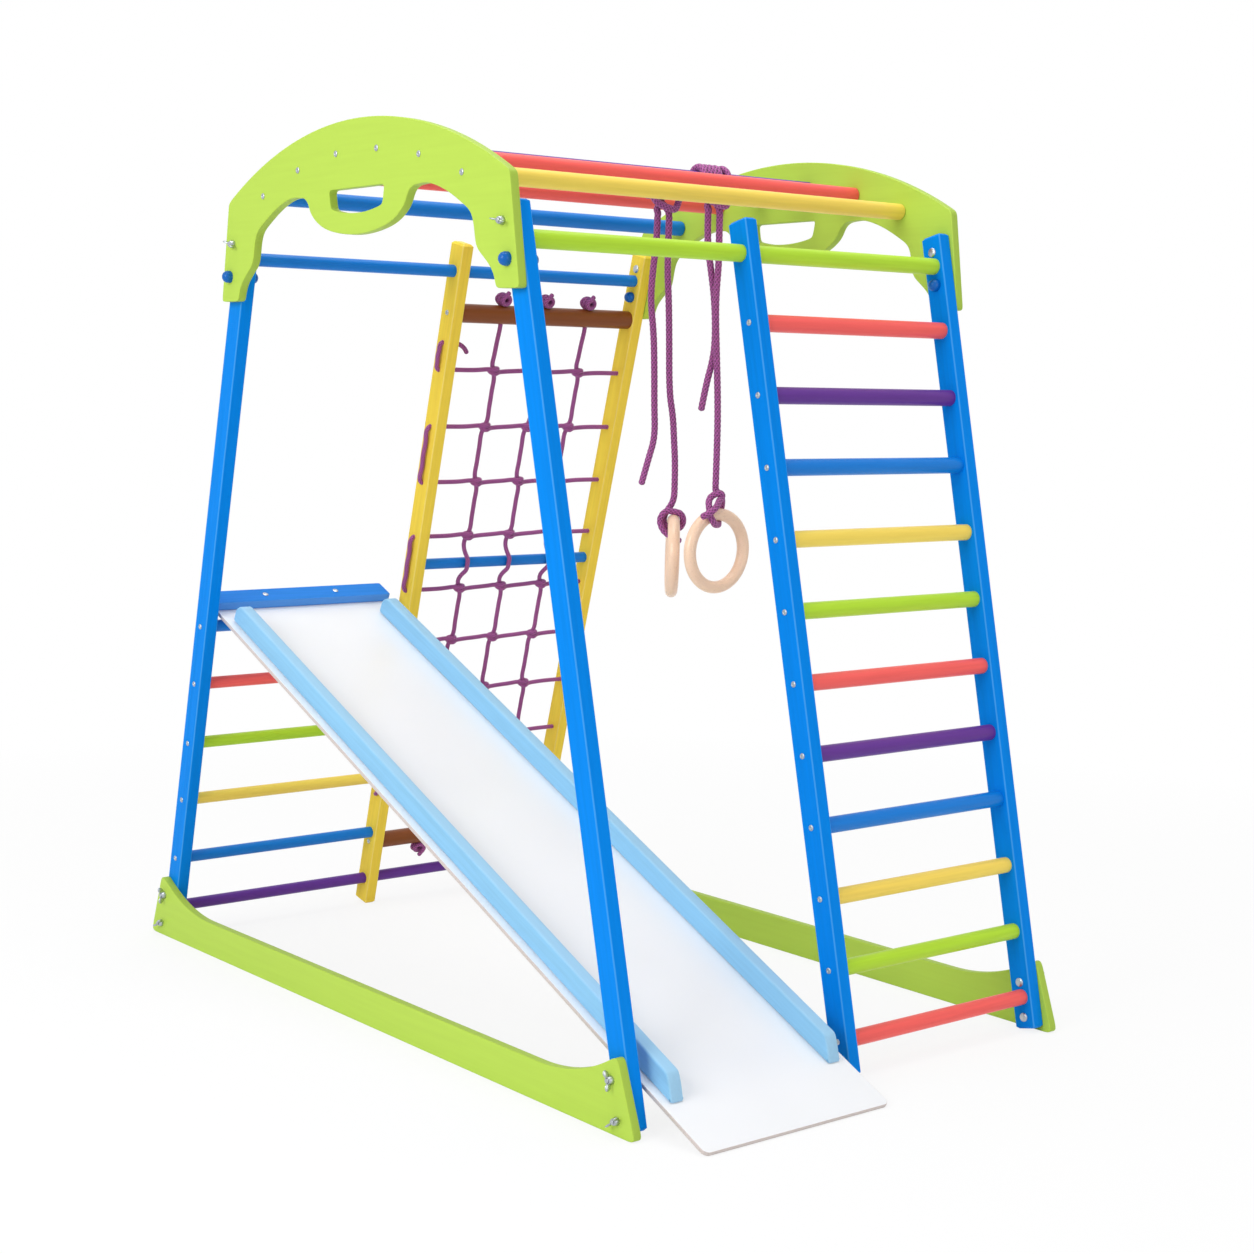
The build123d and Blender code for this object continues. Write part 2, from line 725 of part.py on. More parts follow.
def make_rope(number, x, route):
    """Rope from its swivel point under the hitch down to the ring's knot."""
    start = bar_point(number, x)
    ball = Pos(*start) * Pos(*route[0]) * Sphere(rope_radius)
    return rope_tube(route, start) + ball


def make_hitch(number, x, tail):
    """Turns of rope round a monkey bar and the knot under it that both ends leave."""
    turn_radius = monkey_bar_radius + rope_bar_clearance + rope_radius
    lump = Pos((hitch_knot_right - hitch_knot_left) / 2, (hitch_knot_back - hitch_knot_front) / 2,
               -(hitch_knot_top + hitch_knot_bottom) / 2) * Box(
        hitch_knot_left + hitch_knot_right, hitch_knot_front + hitch_knot_back,
        hitch_knot_bottom - hitch_knot_top)
    lump = fillet(lump.edges(), hitch_knot_fillet)
    hitch = lump
    for i in range(hitch_turn_count):
        place = hitch_turn_middle + (i - (hitch_turn_count - 1) / 2) * hitch_turn_pitch
        hitch += Pos(place, 0, 0) * Rot(Y=90) * Torus(turn_radius, rope_radius)
    main_end = rope_pivot_drop - rope_radius - rope_bar_clearance
    main_leg = (main_end + hitch_knot_top) / 2
    hitch += Pos(0, 0, -main_leg) * Cylinder(rope_radius, main_end - hitch_knot_top)
    tail_end = -tail[0][2]
    tail_leg = (tail_end + hitch_knot_top) / 2
    hitch += Pos(tail[0][0], tail[0][1], -tail_leg) * Cylinder(rope_radius, tail_end - hitch_knot_top)
    return Pos(*bar_point(number, x)) * hitch


def ring_centre(number, x, route):
    """Middle of a ring, hung by its knot from the end of its rope."""
    end = Vector(*bar_point(number, x)) + Vector(*route[-1])
    drop = knot_lump_lift + knot_top_cut + ring_circle_radius
    return end - Vector(0, 0, drop)


def make_ring(number, x, route, turn, slip):
    """Wooden ring, upright, turned about the rope and slipped aside in its knot."""
    ring = Rot(X=90) * Torus(ring_circle_radius, ring_tube_radius)
    return Pos(ring_centre(number, x, route)) * (Rot(Z=turn) * Pos(slip, 0, 0) * ring)


def make_ring_knot(number, x, route, turn, slip, end_turn):
    """Knot over a ring: a loop round the wood, a lump above it and a short cut end."""
    loop_radius = ring_tube_radius + knot_rope_clearance + rope_radius
    top = ring_circle_radius
    lean = math.asin(slip / ring_circle_radius)
    loop = Pos(0, 0, top * math.cos(lean)) * Rot(Y=90 - math.degrees(lean)) * Torus(loop_radius, rope_radius)
    lump = Pos(0, 0, top + knot_lump_lift) * Sphere(knot_lump_radius)
    lump -= Pos(0, 0, top + knot_lump_lift + knot_top_cut + overrun / 2) * Box(
        overrun * 2, overrun * 2, overrun)
    end = Pos(0, 0, top + knot_lump_lift) * Rot(Y=end_turn) * Pos(0, 0, -knot_end_length) * Cylinder(
        rope_radius, knot_end_length * 2)
    wood = Pos(slip, 0, 0) * Rot(X=90) * Torus(ring_circle_radius, ring_tube_radius + knot_rope_clearance)
    knot = loop + lump + (end - Pos(0, 0, top + knot_lump_lift + overrun / 2) * Box(
        overrun * 4, overrun * 4, overrun)) - wood
    return Pos(ring_centre(number, x, route)) * (Rot(Z=turn) * knot)


os.makedirs("parts", exist_ok=True)

for rod in rods:
    save(rod[0], make_rod(rod))

save("left_front_post", make_post(left_x, front))
save("middle_front_post", make_post(middle_x, front))
save("right_front_post", make_post(right_x, front))
save("left_back_post", make_post(left_x, back))
save("middle_back_post", make_post(back_middle_x, back))
save("right_back_post", make_post(right_x, back))

arch_bolts = [bolt for bolt in plate_bolts if bolt[1] == arch_bolt_place] + cap_bolts
plank_bolts = [bolt for bolt in plate_bolts if bolt[1] != arch_bolt_place]
arch = arch_face() - hand_hole_face()
for name, end in (("left", -1), ("right", 1)):
    save(name + "_arch", make_plate(arch, end, arch_bolts, True))
    save(name + "_base_plank", make_plate(plank_face(), end, plank_bolts, False))
for number in range(1, monkey_bar_count + 1):
    save("monkey_bar_%d" % number, make_monkey_bar(number))

save("climbing_net", make_net())
save("slide_sheet", make_slide_sheet())
save("slide_left_rail", make_slide_rail(-1))
save("slide_right_rail", make_slide_rail(1))
save("slide_top_board", make_slide_board())
save("slide_hooks", make_slide_hooks())
save("slide_screws", make_slide_screws())

bar_screws = [screw_at(end * (outer_face + plate_thickness), -end, *monkey_bar_point(number))
              for number in range(1, monkey_bar_count + 1) for end in (-1, 1)]
save("bar_screws", Compound(children=bar_screws))
rung_screws = [screw_at(face, into, *post_point(rod[1], rod[2])) for rod in rods for face, into in rod[6]]
rung_screws.append(screw_at(middle_x - half_post, 1, *post_point(front, toe_screw_place)))
save("rung_screws", Compound(children=rung_screws))
save("carriage_bolts", Compound(children=[
    carriage_bolt(side, place, end) for side, place in plate_bolts for end in (-1, 1)]))
save("wing_nuts", Compound(children=[
    wing_nut(side, place, end) for side, place in plate_bolts for end in (-1, 1)]))
save("ball_cap_bolts", Compound(children=[
    cap_bolt(side, place, end) for side, place in cap_bolts for end in (-1, 1)]))

hangers = [
    ("front", 4, front_rope_place, front_rope_route, front_tail_route, front_ring_turn,
     front_ring_slip, front_knot_end_turn),
    ("back", 3, back_rope_place, back_rope_route, back_tail_route, back_ring_turn,
     back_ring_slip, back_knot_end_turn)]
for name, number, x, route, tail, turn, slip, end_turn in hangers:
    save(name + "_hitch", make_hitch(number, x, tail))
    save(name + "_rope", make_rope(number, x, route))
    save(name + "_rope_tail", rope_tube(tail, bar_point(number, x)))
    save(name + "_ring_knot", make_ring_knot(number, x, route, turn, slip, end_turn))
    save(name + "_ring", make_ring(number, x, route, turn, slip))
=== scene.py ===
"""Indoor climbing tower with a slide, two rings on ropes, a ladder, a rope net and monkey bars.

Sizes in this file are in millimetres unless a name says otherwise, and become metres when a
piece's mesh is made. X runs to the right, Y to the back and Z up, as in the CAD frame.
"""
import math

import bmesh
import bpy
import numpy as np
from mathutils import Matrix, Vector
from mathutils.geometry import tessellate_polygon


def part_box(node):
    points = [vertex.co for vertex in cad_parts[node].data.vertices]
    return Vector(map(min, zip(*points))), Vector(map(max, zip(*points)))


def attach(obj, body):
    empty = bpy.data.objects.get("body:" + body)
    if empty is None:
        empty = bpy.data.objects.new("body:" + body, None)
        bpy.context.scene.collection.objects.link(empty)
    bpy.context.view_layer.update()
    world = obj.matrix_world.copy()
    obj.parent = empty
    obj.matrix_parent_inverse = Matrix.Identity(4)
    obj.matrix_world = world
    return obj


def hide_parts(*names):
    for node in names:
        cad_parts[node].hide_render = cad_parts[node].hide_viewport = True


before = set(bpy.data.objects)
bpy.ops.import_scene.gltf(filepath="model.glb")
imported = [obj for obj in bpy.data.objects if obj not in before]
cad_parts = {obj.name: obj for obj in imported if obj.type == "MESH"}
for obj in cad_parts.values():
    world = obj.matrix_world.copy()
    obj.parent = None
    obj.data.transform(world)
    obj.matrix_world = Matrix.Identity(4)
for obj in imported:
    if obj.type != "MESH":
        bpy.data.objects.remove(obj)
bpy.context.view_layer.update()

bl_info = {
    "name": "Climbing tower",
    "version": (1, 0, 0),
    "blender": (4, 5, 0),
    "location": "3D View > Sidebar > Climbing tower",
    "description": "Finished pieces of an indoor climbing tower, fitted to its CAD frame",
    "category": "Object",
}

MM = 0.001
# Points nearer than this, in metres, become one
MERGE = 1e-6
PHOTO_SIDE = 1254

# Frame of posts
POST_LEAN = math.radians(13.7)
POST_LENGTH = 1211
POST_SIZE = (22, 35)
POST_ROUND = 2.2
POST_END_EASE = 3
HALF_DEPTH = 620
MIDDLE = 41.821
FRONT, BACK = -1, 1
POSTS = {
    "left_front_post": ("blue_post", FRONT), "middle_front_post": ("blue_post", FRONT),
    "right_front_post": ("blue_post", FRONT), "left_back_post": ("blue_post", BACK),
    "middle_back_post": ("yellow_post", BACK), "right_back_post": ("yellow_post", BACK)}
OUTER_FACE = 411
PLATE_THICKNESS = 14

INNER_FACE = OUTER_FACE - POST_SIZE[0]
PLATE_FACE = OUTER_FACE + PLATE_THICKNESS

# Rods: node and colour
RODS = {"%s_%d" % (stem, number): colour for stem, colours in (
    ("ladder_rung", "red purple blue yellow green red purple blue yellow green red"),
    ("monkey_bar", "blue red green purple red yellow"),
    ("back_rung", "red green yellow blue")) for number, colour in enumerate(colours.split(), 1)}
RODS.update({
    "front_top_rail": "green", "back_top_rail": "blue", "hook_rung": "blue",
    "back_bottom_rail": "purple", "net_top_rod": "brown", "net_middle_rod": "blue",
    "net_bottom_rod": "brown"})
ROD_END_EASE = 1.5

# Arch outline
ARCH_TOP, ARCH_BOTTOM = 1305.9, 1068
ARCH_HALF, SHOULDER_HALF, SHOULDER_HEIGHT = 376, 352, 1213
UNDER_EDGE = [
    (0, 0.349), (0.138, 0.368), (0.250, 0.418), (0.298, 0.466), (0.322, 0.508), (0.335, 0.550),
    (0.356, 0.580), (0.399, 0.592), (0.447, 0.594), (0.497, 0.580), (0.598, 0.521), (0.686, 0.447),
    (0.714, 0.416), (0.730, 0.373), (0.742, 0.294), (0.755, 0.227), (0.782, 0.187), (0.819, 0.141),
    (0.848, 0.092), (0.862, 0.046), (0.870, 0)]
# Half width and height of the hand hole's top and of its sides' feet, and the height of its bottom
HAND_HOLE = (70, 1214), (65, 1188), 1180
PLATE_CORNER, PLANK_CORNER = 6, 11.5

# Floor plank outline
PLANK_HALF, PLANK_TOP_HALF, PLANK_HEIGHT = 652, 611, 57
PLANK_ARC_START, PLANK_ARC_RADIUS = 450, 275

# Net
NET_ROPE = 4
ROW_TOP, ROW_PITCH, ROW_COUNT = 1002, 97.4, 9
STRANDS = (110, 203, 296)
NET_LEFT, NET_RIGHT = 17, 389
TAIL_HOLE = 1047
# The net rope's loose end, from its hole in the left post
TAIL = [(-8, 0, 0), (4, 0, 0), (15, -1, -3), (24, -2, -9), (30, -3, -17)]
# Places of the net's three rods along the posts, and how far a stopper knot sits beyond the outer two
TOP_ROD, MIDDLE_ROD, BOTTOM_ROD = 1097, 659.4, 126
STOPPER_REACH = 25.6
# How deep a rope's end sits in a post, and its straight runs beside a post or rod and beside a row
ROPE_SINK, STRAIGHT, BESIDE_ROW = 9, 20, 12
# The row above the middle rod, and the bow of a strand in front of that rod: share of the
# strand's step aside, step outwards and step along the posts
BOW_ROW = 3
BOW = [(0.5, -9, 16.6), (0, -13.6, 8.6), (0, -14, 0), (0, -13.6, -8.4), (0.5, -9, -16.4)]
# From this row down, the lacing runs this far beside the left post's middle line
LOW_LACE_ROW, LOW_LACE_STEP = 5, -14.2

# Slide, in its own frame: Y up the slope, Z out of the sheet, zero at the hook rung
SLIDE_AT = (-212, 527.155, 552.423)
SLIDE_SLOPE = math.radians(25.148)
SHEET_BOTTOM, SHEET_TOP = 18.8, 24.8
SHEET_HALF, SHEET_FOOT, SHEET_HEAD, FOOT_CUT = 170, -1340, 45, 6
RAIL_HALF, RAIL_HEIGHT, RAIL_MIDDLE, RAIL_FOOT, RAIL_HEAD = 11, 32, 145, -1250, -25
BOARD_HALF, BOARD_FOOT, BOARD_THICKNESS = 174, 6, 15
SHEET_EDGE, BOARD_EDGE, HOOK_EDGE = 0.9, 2.2, 1
HOOK_PLACES, HOOK_HALF, HOOK_NOTCH, HOOK_LIP, HOOK_DROP = (-70, 70), 17, 10.3, -24, -6

# Fasteners: places along a post, and faces that carry screws
NUT_PLACES, CAP_PLACE, FOOT_SCREW_PLACE = (1186, 76, 22), 1137, 26
MIDDLE_POST_FACE, NET_POST_FACE = -11, -5
SCREW_RADIUS, SCREW_RISE = 4.4, 1.6
# Radius, height, collar and steps of a dome
BOLT_DOME, CAP_DOME = (7, 3, 0.6, 8), (9, 13, 4, 12)
# A screw in the right post is left out where the plank or the arch covers the post
COVERED_BELOW, COVERED_ABOVE = 140, ARCH_BOTTOM - 4

# Ropes and rings
ROPE = 5.5
BAR_RADIUS = 12
PIVOT_DROP = 54
RING_CIRCLE, RING_TUBE = 58.5, 10
HANGERS = {
    "front": {"bar": (220, -9.314, 1262.103), "turn": 0, "slip": 8, "length": 414.6, "tail_length": 300.3,
              "rope": [(0, 0, -54), (1, 0, -92), (2, 0, -125), (-1, 0, -165), (0, 0, -205), (5, 0, -260),
                       (11, 0, -325), (14, 0, -390), (14, 0, -468)],
              "tail": [(-12.5, 13, -54), (-12.5, 13, -88), (-3, 13, -128), (8, 13, -175), (13, 13, -232),
                       (10, 13, -268), (-3.5, 13, -308), (-12, 13, -349)],
              "knot": [(0, 0, 102), (1, 0, 97.5), (6, 0.5, 93.5), (14.5, 2.5, 88.5), (21, 6, 80.5),
                       (25, 10.5, 72), (27, 14.8, 62), (25, 15.3, 52.5), (19, 10.6, 45.5), (9, 0, 42.4),
                       (0, -6, 42.6), (-9.5, -11.4, 44.3), (-18.5, -15.9, 50.5), (-23, -14.3, 58),
                       (-21, -10, 68.5), (-18.5, -5.5, 77.5), (-12.5, -3, 86), (-4, -7.5, 92), (2.5, -10.5, 92),
                       (6.5, -9.5, 88), (-1.5, -12.5, 82), (-9, -17, 76.5), (-17.5, -20.5, 70.5),
                       (-26, -20.5, 64.5), (-34, -17, 59.5), (-42, -13, 55.5)]},
    "back": {"bar": (206, 92.956, 1262.103), "turn": -130, "slip": 0, "length": 431.0, "tail_length": 420.4,
             "rope": [(0, 0, -54), (0, 0, -92), (0.5, 0, -135), (5, 0, -172), (9, 0, -235), (13, 0, -320),
                      (23, 0, -358), (27, 0, -395), (32, 0, -440), (32, 0, -483)],
             "tail": [(-13, 13, -54), (-13, 13, -82), (-20, 13, -135), (-22, 13, -180), (-13, 13, -228),
                      (-9, 13, -290), (-7, 13, -340), (-3, 13, -392), (-16, 13, -427), (-30, 13, -469)],
             "knot": [(0, 0, 102), (0, -1, 94), (-1.5, -3.5, 86), (-4, -8, 78), (-5, -13.5, 69),
                      (-4, -16, 58.5), (-2, -11, 47), (0, 0, 43), (1, 11, 47), (2, 15.8, 57), (3, 13.8, 66),
                      (4.5, 9, 70.6), (5, 0, 72.8), (5.8, -8.5, 74), (6.5, -15, 71.5), (6.5, -20, 65.5),
                      (5, -22, 58.5), (5.5, -20, 49.5), (6, -15, 41), (6, -6, 34), (5.5, 5, 28), (5, 14, 23)]}}
# Laps of a hitch along its bar: where they start and stop, and how many
HITCH_START, HITCH_STOP, HITCH_LAPS = -14, -52, 3
# Height of a knot's top above its ring's middle
KNOT_RISE = 102

# Camera of the photograph
CAMERA_AT = (-2098.2, -2494.7, 940.8)
CAMERA_YAW, CAMERA_PITCH, CAMERA_ROLL = 0.6454, 0.2264, 0.0153
FOCAL_PIXELS = 2073.09
PRINCIPAL_POINT = (480.85, 867.59)
SENSOR_MM = 36

# Stage, in metres and watts: where a lamp stands, what it looks at, its width and its power
LAMPS = {
    "left_softbox": ((-3.8, -0.5, 2.3), (0, 0, 0.7), 2.2, 80),
    "top_softbox": ((0.2, 0.1, 4.2), (0, 0, 0.6), 3.0, 86),
    "front_fill": ((0.6, -4.2, 1.6), (0, 0, 0.6), 2.4, 26)}
WORLD_LIGHT = 0.42
FLOOR_REACH = 30.0
# The floor's own white, near the tower and far off, and where it goes from the one to the other
FLOOR_WHITE, FLOOR_FADE = (0.84, 1.0), (1.0, 2.6)


# Colours and materials

def linear(hex_value):
    """Linear RGBA of an sRGB hex colour: each channel to the power of its standard curve."""
    code = hex_value.lstrip("#")
    srgb = np.array([int(code[i:i + 2], 16) for i in (0, 2, 4)]) / 255
    rgb = np.where(srgb <= 0.04045, srgb / 12.92, ((srgb + 0.055) / 1.055) ** 2.4)
    return (*rgb.tolist(), 1.0)


def shade(colour, factor):
    """A linear colour made darker or lighter by a factor."""
    return (*[min(1.0, c * factor) for c in colour[:3]], 1.0)


def add_node(tree, kind, inputs=None, **settings):
    """Add a node, set its options, and fill its sockets with values or links."""
    made = tree.nodes.new(kind)
    for key, value in settings.items():
        setattr(made, key, value)
    for socket, value in (inputs or {}).items():
        if isinstance(value, bpy.types.NodeSocket):
            tree.links.new(value, made.inputs[socket])
        else:
            made.inputs[socket].default_value = value
    return made


def new_material(name, **sockets):
    """A material with one Principled shader, and its constants on the shader's own sockets."""
    material = bpy.data.materials.new(name)
    material.use_nodes = True
    tree = material.node_tree
    shader = tree.nodes["Principled BSDF"]
    for socket, value in sockets.items():
        shader.inputs[socket.replace("_", " ")].default_value = value
    return material, tree


def grain_nodes(tree, size_mm, turn=0.0, detail=3.0):
    """Noise stretched along the wood: one cell is as large as size_mm says, turned about X."""
    place = add_node(tree, "ShaderNodeTexCoord").outputs["Object"]
    mapped = add_node(tree, "ShaderNodeMapping", {
        "Vector": place, "Rotation": (turn, 0, 0), "Scale": [s * MM for s in size_mm]}, vector_type="TEXTURE")
    return add_node(tree, "ShaderNodeTexNoise", {
        "Vector": mapped.outputs[0], "Scale": 1.0, "Detail": detail, "Roughness": 0.55}).outputs[0]


# The middle part of a noise texture's values, which is nearly all that shows
NOISE = (0.3, 0.7)


def spread(tree, value, out, values=NOISE):
    """Carry a texture's value from one range to another."""
    return add_node(tree, "ShaderNodeMapRange", {
        "Value": value, "From Min": values[0], "From Max": values[1], "To Min": out[0], "To Max": out[1]}).outputs[0]


def blended(tree, factor, first, second):
    """Colour between two colours, by a texture's value."""
    return add_node(tree, "ShaderNodeMix", {0: factor, 6: first, 7: second}, data_type="RGBA").outputs[2]


def mottled(tree, first, second, texture, amount=1.0, values=NOISE):
    """Go from one colour by up to an amount to another, as a texture goes through its values."""
    return blended(tree, spread(tree, texture, (0.0, amount), values), first, second)


def point_share(tree, name):
    """The share that a mesh carries under a name at each of its points."""
    return add_node(tree, "ShaderNodeAttribute", attribute_name=name).outputs["Fac"]


def finished(material, tone, height, distance_mm, strength, rough_by=None, rough=None):
    """Give a material its colour, its roughness between two values by a texture, and its
    bump from a height in millimetres."""
    tree = material.node_tree
    sockets = tree.nodes["Principled BSDF"].inputs
    tree.links.new(tone, sockets["Base Color"])
    if rough:
        tree.links.new(spread(tree, rough_by, rough), sockets["Roughness"])
    bump = add_node(tree, "ShaderNodeBump", {
        "Height": height, "Distance": distance_mm * MM, "Strength": strength})
    tree.links.new(bump.outputs[0], sockets["Normal"])
    return material


# Paint on planed pine and beech: real growth rings are 1 to 3 mm apart, drawn 5 mm wide so that they show
GRAIN_WIDTH, GRAIN_LENGTH = 5, 130


def painted_wood(name, colour, along, turn=0.0, shine=0.1):
    """Satin water-based paint sprayed on planed wood: the eye sees an even colour with faint
    long streaks where the grain has drunk it in, a painted highlight as a paler line on the
    rounded corners where light catches them, and a soft, slightly broken shine."""
    material, tree = new_material(name, Specular_IOR_Level=shine)
    size = [GRAIN_LENGTH if i == along else GRAIN_WIDTH for i in range(3)]
    grain = grain_nodes(tree, size, turn)
    cloud = grain_nodes(tree, [s * 6 for s in size], turn, 1.0)
    tone = mottled(tree, colour, shade(colour, 0.82), grain, 0.55, (0.35, 0.72))
    tone = mottled(tree, tone, shade(colour, 1.12), cloud, 0.3, (0.35, 0.7))
    # Painted highlight: a paler colour laid on the rounded corners by their crown share, where light catches them
    edge_highlight = (*[min(1.0, 0.45 * c + 0.4 * math.sqrt(c) + 0.1) for c in colour[:3]], 1.0)
    tone = mottled(tree, tone, edge_highlight, point_share(tree, "crown"), 0.5, (0.2, 1.0))
    return finished(material, tone, grain, 0.25, 0.35, grain, (0.34, 0.46))


def lime_plywood(name, colour):
    """Birch plywood rolled with lime paint: a flat colour with the roller's fine orange peel
    and a hint of the veneer's grain, a little darker on the cut edges."""
    material, tree = new_material(name, Specular_IOR_Level=0.16)
    veneer = grain_nodes(tree, (8, 160, 9))
    peel = grain_nodes(tree, (2.2, 2.2, 2.2), detail=1.0)
    tone = mottled(tree, colour, shade(colour, 0.86), veneer, 0.3, (0.35, 0.75))
    # Darker on the faces that do not point along X, which are the cut edges
    normal = add_node(tree, "ShaderNodeNewGeometry").outputs["Normal"]
    across = add_node(tree, "ShaderNodeSeparateXYZ", {0: normal}).outputs[0]
    flat = add_node(tree, "ShaderNodeMath", {0: across}, operation="ABSOLUTE").outputs[0]
    cut = spread(tree, flat, (0.38, 0.0), (0.2, 0.9))
    tone = blended(tree, cut, tone, shade(colour, 0.55))
    return finished(material, tone, peel, 0.08, 0.3, peel, (0.38, 0.5))


def laminate_sheet(name, face, core):
    """Fibre board with a white melamine face: smooth, slightly glossy and cool white on the
    faces, with the pale, slightly pink core of pressed fibres showing at the cut edges."""
    material, tree = new_material(name, Roughness=0.28, IOR=1.5)
    speck = grain_nodes(tree, (1.5, 1.5, 1.5), detail=2.0)
    cloud = grain_nodes(tree, (180, 260, 180), detail=1.0)
    white = mottled(tree, face, shade(face, 0.965), cloud)
    fibres = mottled(tree, core, shade(core, 0.82), speck)
    tone = blended(tree, point_share(tree, "cut_edge"), white, fibres)
    return finished(material, tone, speck, 0.03, 0.2)


def braided_rope(name, colour):
    """Soft braided polyester cord: matt purple yarns with a pale sheen where they crown and
    a deep shade in the crossings between them, and a faint fuzz that blurs the highlights."""
    material, tree = new_material(
        name, Roughness=0.72, IOR=1.5, Sheen_Weight=0.2, Sheen_Roughness=0.5)
    crown = point_share(tree, "crown")
    fuzz = grain_nodes(tree, (2.5, 2.5, 2.5), detail=4.0)
    lit = mottled(tree, shade(colour, 1.65), shade(colour, 2.2), fuzz, 0.6, (0.35, 0.7))
    return finished(material, blended(tree, crown, shade(colour, 0.28), lit), fuzz, 0.15, 0.4)


def beech(name, colour):
    """Turned beech under clear lacquer: warm pale wood with fine darker flecks along the
    grain, a broad lighter and redder figure, and a soft clear shine."""
    material, tree = new_material(name, IOR=1.5, Coat_Weight=0.3, Coat_Roughness=0.22)
    figure = grain_nodes(tree, (60, 14, 26), detail=2.0)
    flecks = grain_nodes(tree, (7, 1.2, 1.2), detail=2.0)
    tone = mottled(tree, colour, shade(colour, 0.92), figure, 0.6, (0.35, 0.7))
    tone = mottled(tree, tone, shade(colour, 0.6), flecks, 0.5, (0.58, 0.72))
    return finished(material, tone, flecks, 0.06, 0.3, figure, (0.3, 0.42))


def zinc_plate(name, colour):
    """Bright zinc plating on steel: a cool silver with slight clouding and fine wear."""
    material, tree = new_material(name, Metallic=1.0)
    cloud = grain_nodes(tree, (4, 4, 4), detail=3.0)
    tone = mottled(tree, colour, shade(colour, 0.8), cloud)
    return finished(material, tone, cloud, 0.05, 0.2, cloud, (0.24, 0.4))


def moulded_plastic(name, colour):
    """Injection moulded polypropylene: an even blue, glossy, with the mould's faint ripple."""
    material, tree = new_material(name, IOR=1.42, Specular_IOR_Level=0.35)
    ripple = grain_nodes(tree, (3, 3, 3), detail=1.0)
    tone = mottled(tree, colour, shade(colour, 0.9), ripple, 0.4)
    return finished(material, tone, ripple, 0.04, 0.2, ripple, (0.18, 0.27))


# Shapes: every one is a dictionary of points in millimetres, faces, and shares for each point

def grid_shape(points, share=None):
    """Quads between neighbouring rows and columns of a grid of points; the columns close."""
    rows, columns = points.shape[:2]
    index = np.arange(rows * columns).reshape(rows, columns)
    index = np.concatenate([index, index[:, :1]], axis=1)
    faces = np.stack([index[:-1, :-1], index[:-1, 1:], index[1:, 1:], index[1:, :-1]], axis=-1)
    share = np.zeros((rows, columns)) if share is None else np.broadcast_to(share, (rows, columns))
    return {"points": points.reshape(-1, 3), "faces": faces.reshape(-1, 4).tolist(), "share": share.ravel()}


def joined(shapes):
    """Several shapes as one, each one's point numbers moved on past the ones before it."""
    faces, start = [], 0
    for shape in shapes:
        faces += [[i + start for i in face] for face in shape["faces"]] if start else shape["faces"]
        start += len(shape["points"])
    return {"points": np.concatenate([s["points"] for s in shapes]), "faces": faces,
            "share": np.concatenate([s["share"] for s in shapes])}


def moved(shape, change):
    """A shape with its points carried through a function."""
    return {**shape, "points": change(shape["points"])}


def turned(points, angle, first, second, origin):
    """Turn points by an angle in the plane of two of their axes, given by number, and move
    them to the origin: the new steps are a cos - b sin and a sin + b cos."""
    points = np.array(points, float)
    a, b = points[..., first].copy(), points[..., second].copy()
    points[..., first] = a * math.cos(angle) - b * math.sin(angle)
    points[..., second] = a * math.sin(angle) + b * math.cos(angle)
    return points + np.asarray(origin, float)


def add_object(name, data):
    """An object that shows the data, linked to the scene."""
    made = bpy.data.objects.new(name, data)
    bpy.context.scene.collection.objects.link(made)
    return made


def new_piece(name, shape, slot, body, replaces, kind=None, share_name="crown", sharp=38):
    """Make a mesh of a shape in metres, merge its doubles, turn its faces outwards, shade it
    smooth but for its sharp edges, give it its slot's finish, and fit it to the frame."""
    mesh = bpy.data.meshes.new(name)
    mesh.from_pydata((shape["points"] * MM).tolist(), [], shape["faces"])
    mesh.attributes.new(share_name, "FLOAT", "POINT").data.foreach_set(
        "value", shape["share"].astype(np.float32))
    work = bmesh.new()
    work.from_mesh(mesh)
    bmesh.ops.remove_doubles(work, verts=work.verts, dist=MERGE)
    bmesh.ops.recalc_face_normals(work, faces=work.faces)
    work.to_mesh(mesh)
    work.free()
    mesh.shade_smooth()
    mesh.set_sharp_from_angle(angle=math.radians(sharp))
    mesh.materials.append(finish_for(slot, kind))
    piece = add_object(name, mesh)
    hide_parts(*replaces)
    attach(piece, body)
    return piece


def full_turn(count):
    """Angles at even steps round a circle, which closes from the last to the first."""
    return np.linspace(0, 2 * np.pi, count, endpoint=False)


def turned_shape(profile, origin, way=(1, 0, 0), sides=32):
    """Turned part: a profile of steps along an axis and radii is carried round that axis,
    so a point is origin + axis * step + radius * (side * cos + other side * sin)."""
    profile = np.asarray(profile, float)
    axis = np.asarray(way, float) / np.linalg.norm(way)
    helper = np.array([0, 0, 1.0]) if abs(axis[2]) < 0.9 else np.array([1.0, 0, 0])
    side = np.cross(helper, axis)
    side /= np.linalg.norm(side)
    other = np.cross(axis, side)
    angle = full_turn(sides)
    ring = np.cos(angle)[:, None] * side + np.sin(angle)[:, None] * other
    points = (np.asarray(origin, float) + profile[:, 0, None, None] * axis
              + profile[:, 1, None, None] * ring[None])
    return grid_shape(points)


def rounded_rectangle(half_width, half_depth, radius, steps=5):
    """Closed outline with round corners, and a point just past each arc to keep flats flat."""
    angle = np.linspace(0, np.pi / 2, steps)
    arc = np.stack([np.cos(angle), np.sin(angle)], 1) * radius
    extra = radius * 0.5
    corner = np.concatenate([[[radius, -extra]], arc, [[-extra, radius]]])
    outline = []
    for quarter, (sx, sy) in enumerate(((1, 1), (-1, 1), (-1, -1), (1, -1))):
        c, s = math.cos(quarter * math.pi / 2), math.sin(quarter * math.pi / 2)
        turn = corner @ np.array([[c, s], [-s, c]])
        outline.append(turn + [sx * (half_width - radius), sy * (half_depth - radius)])
    return np.concatenate(outline)


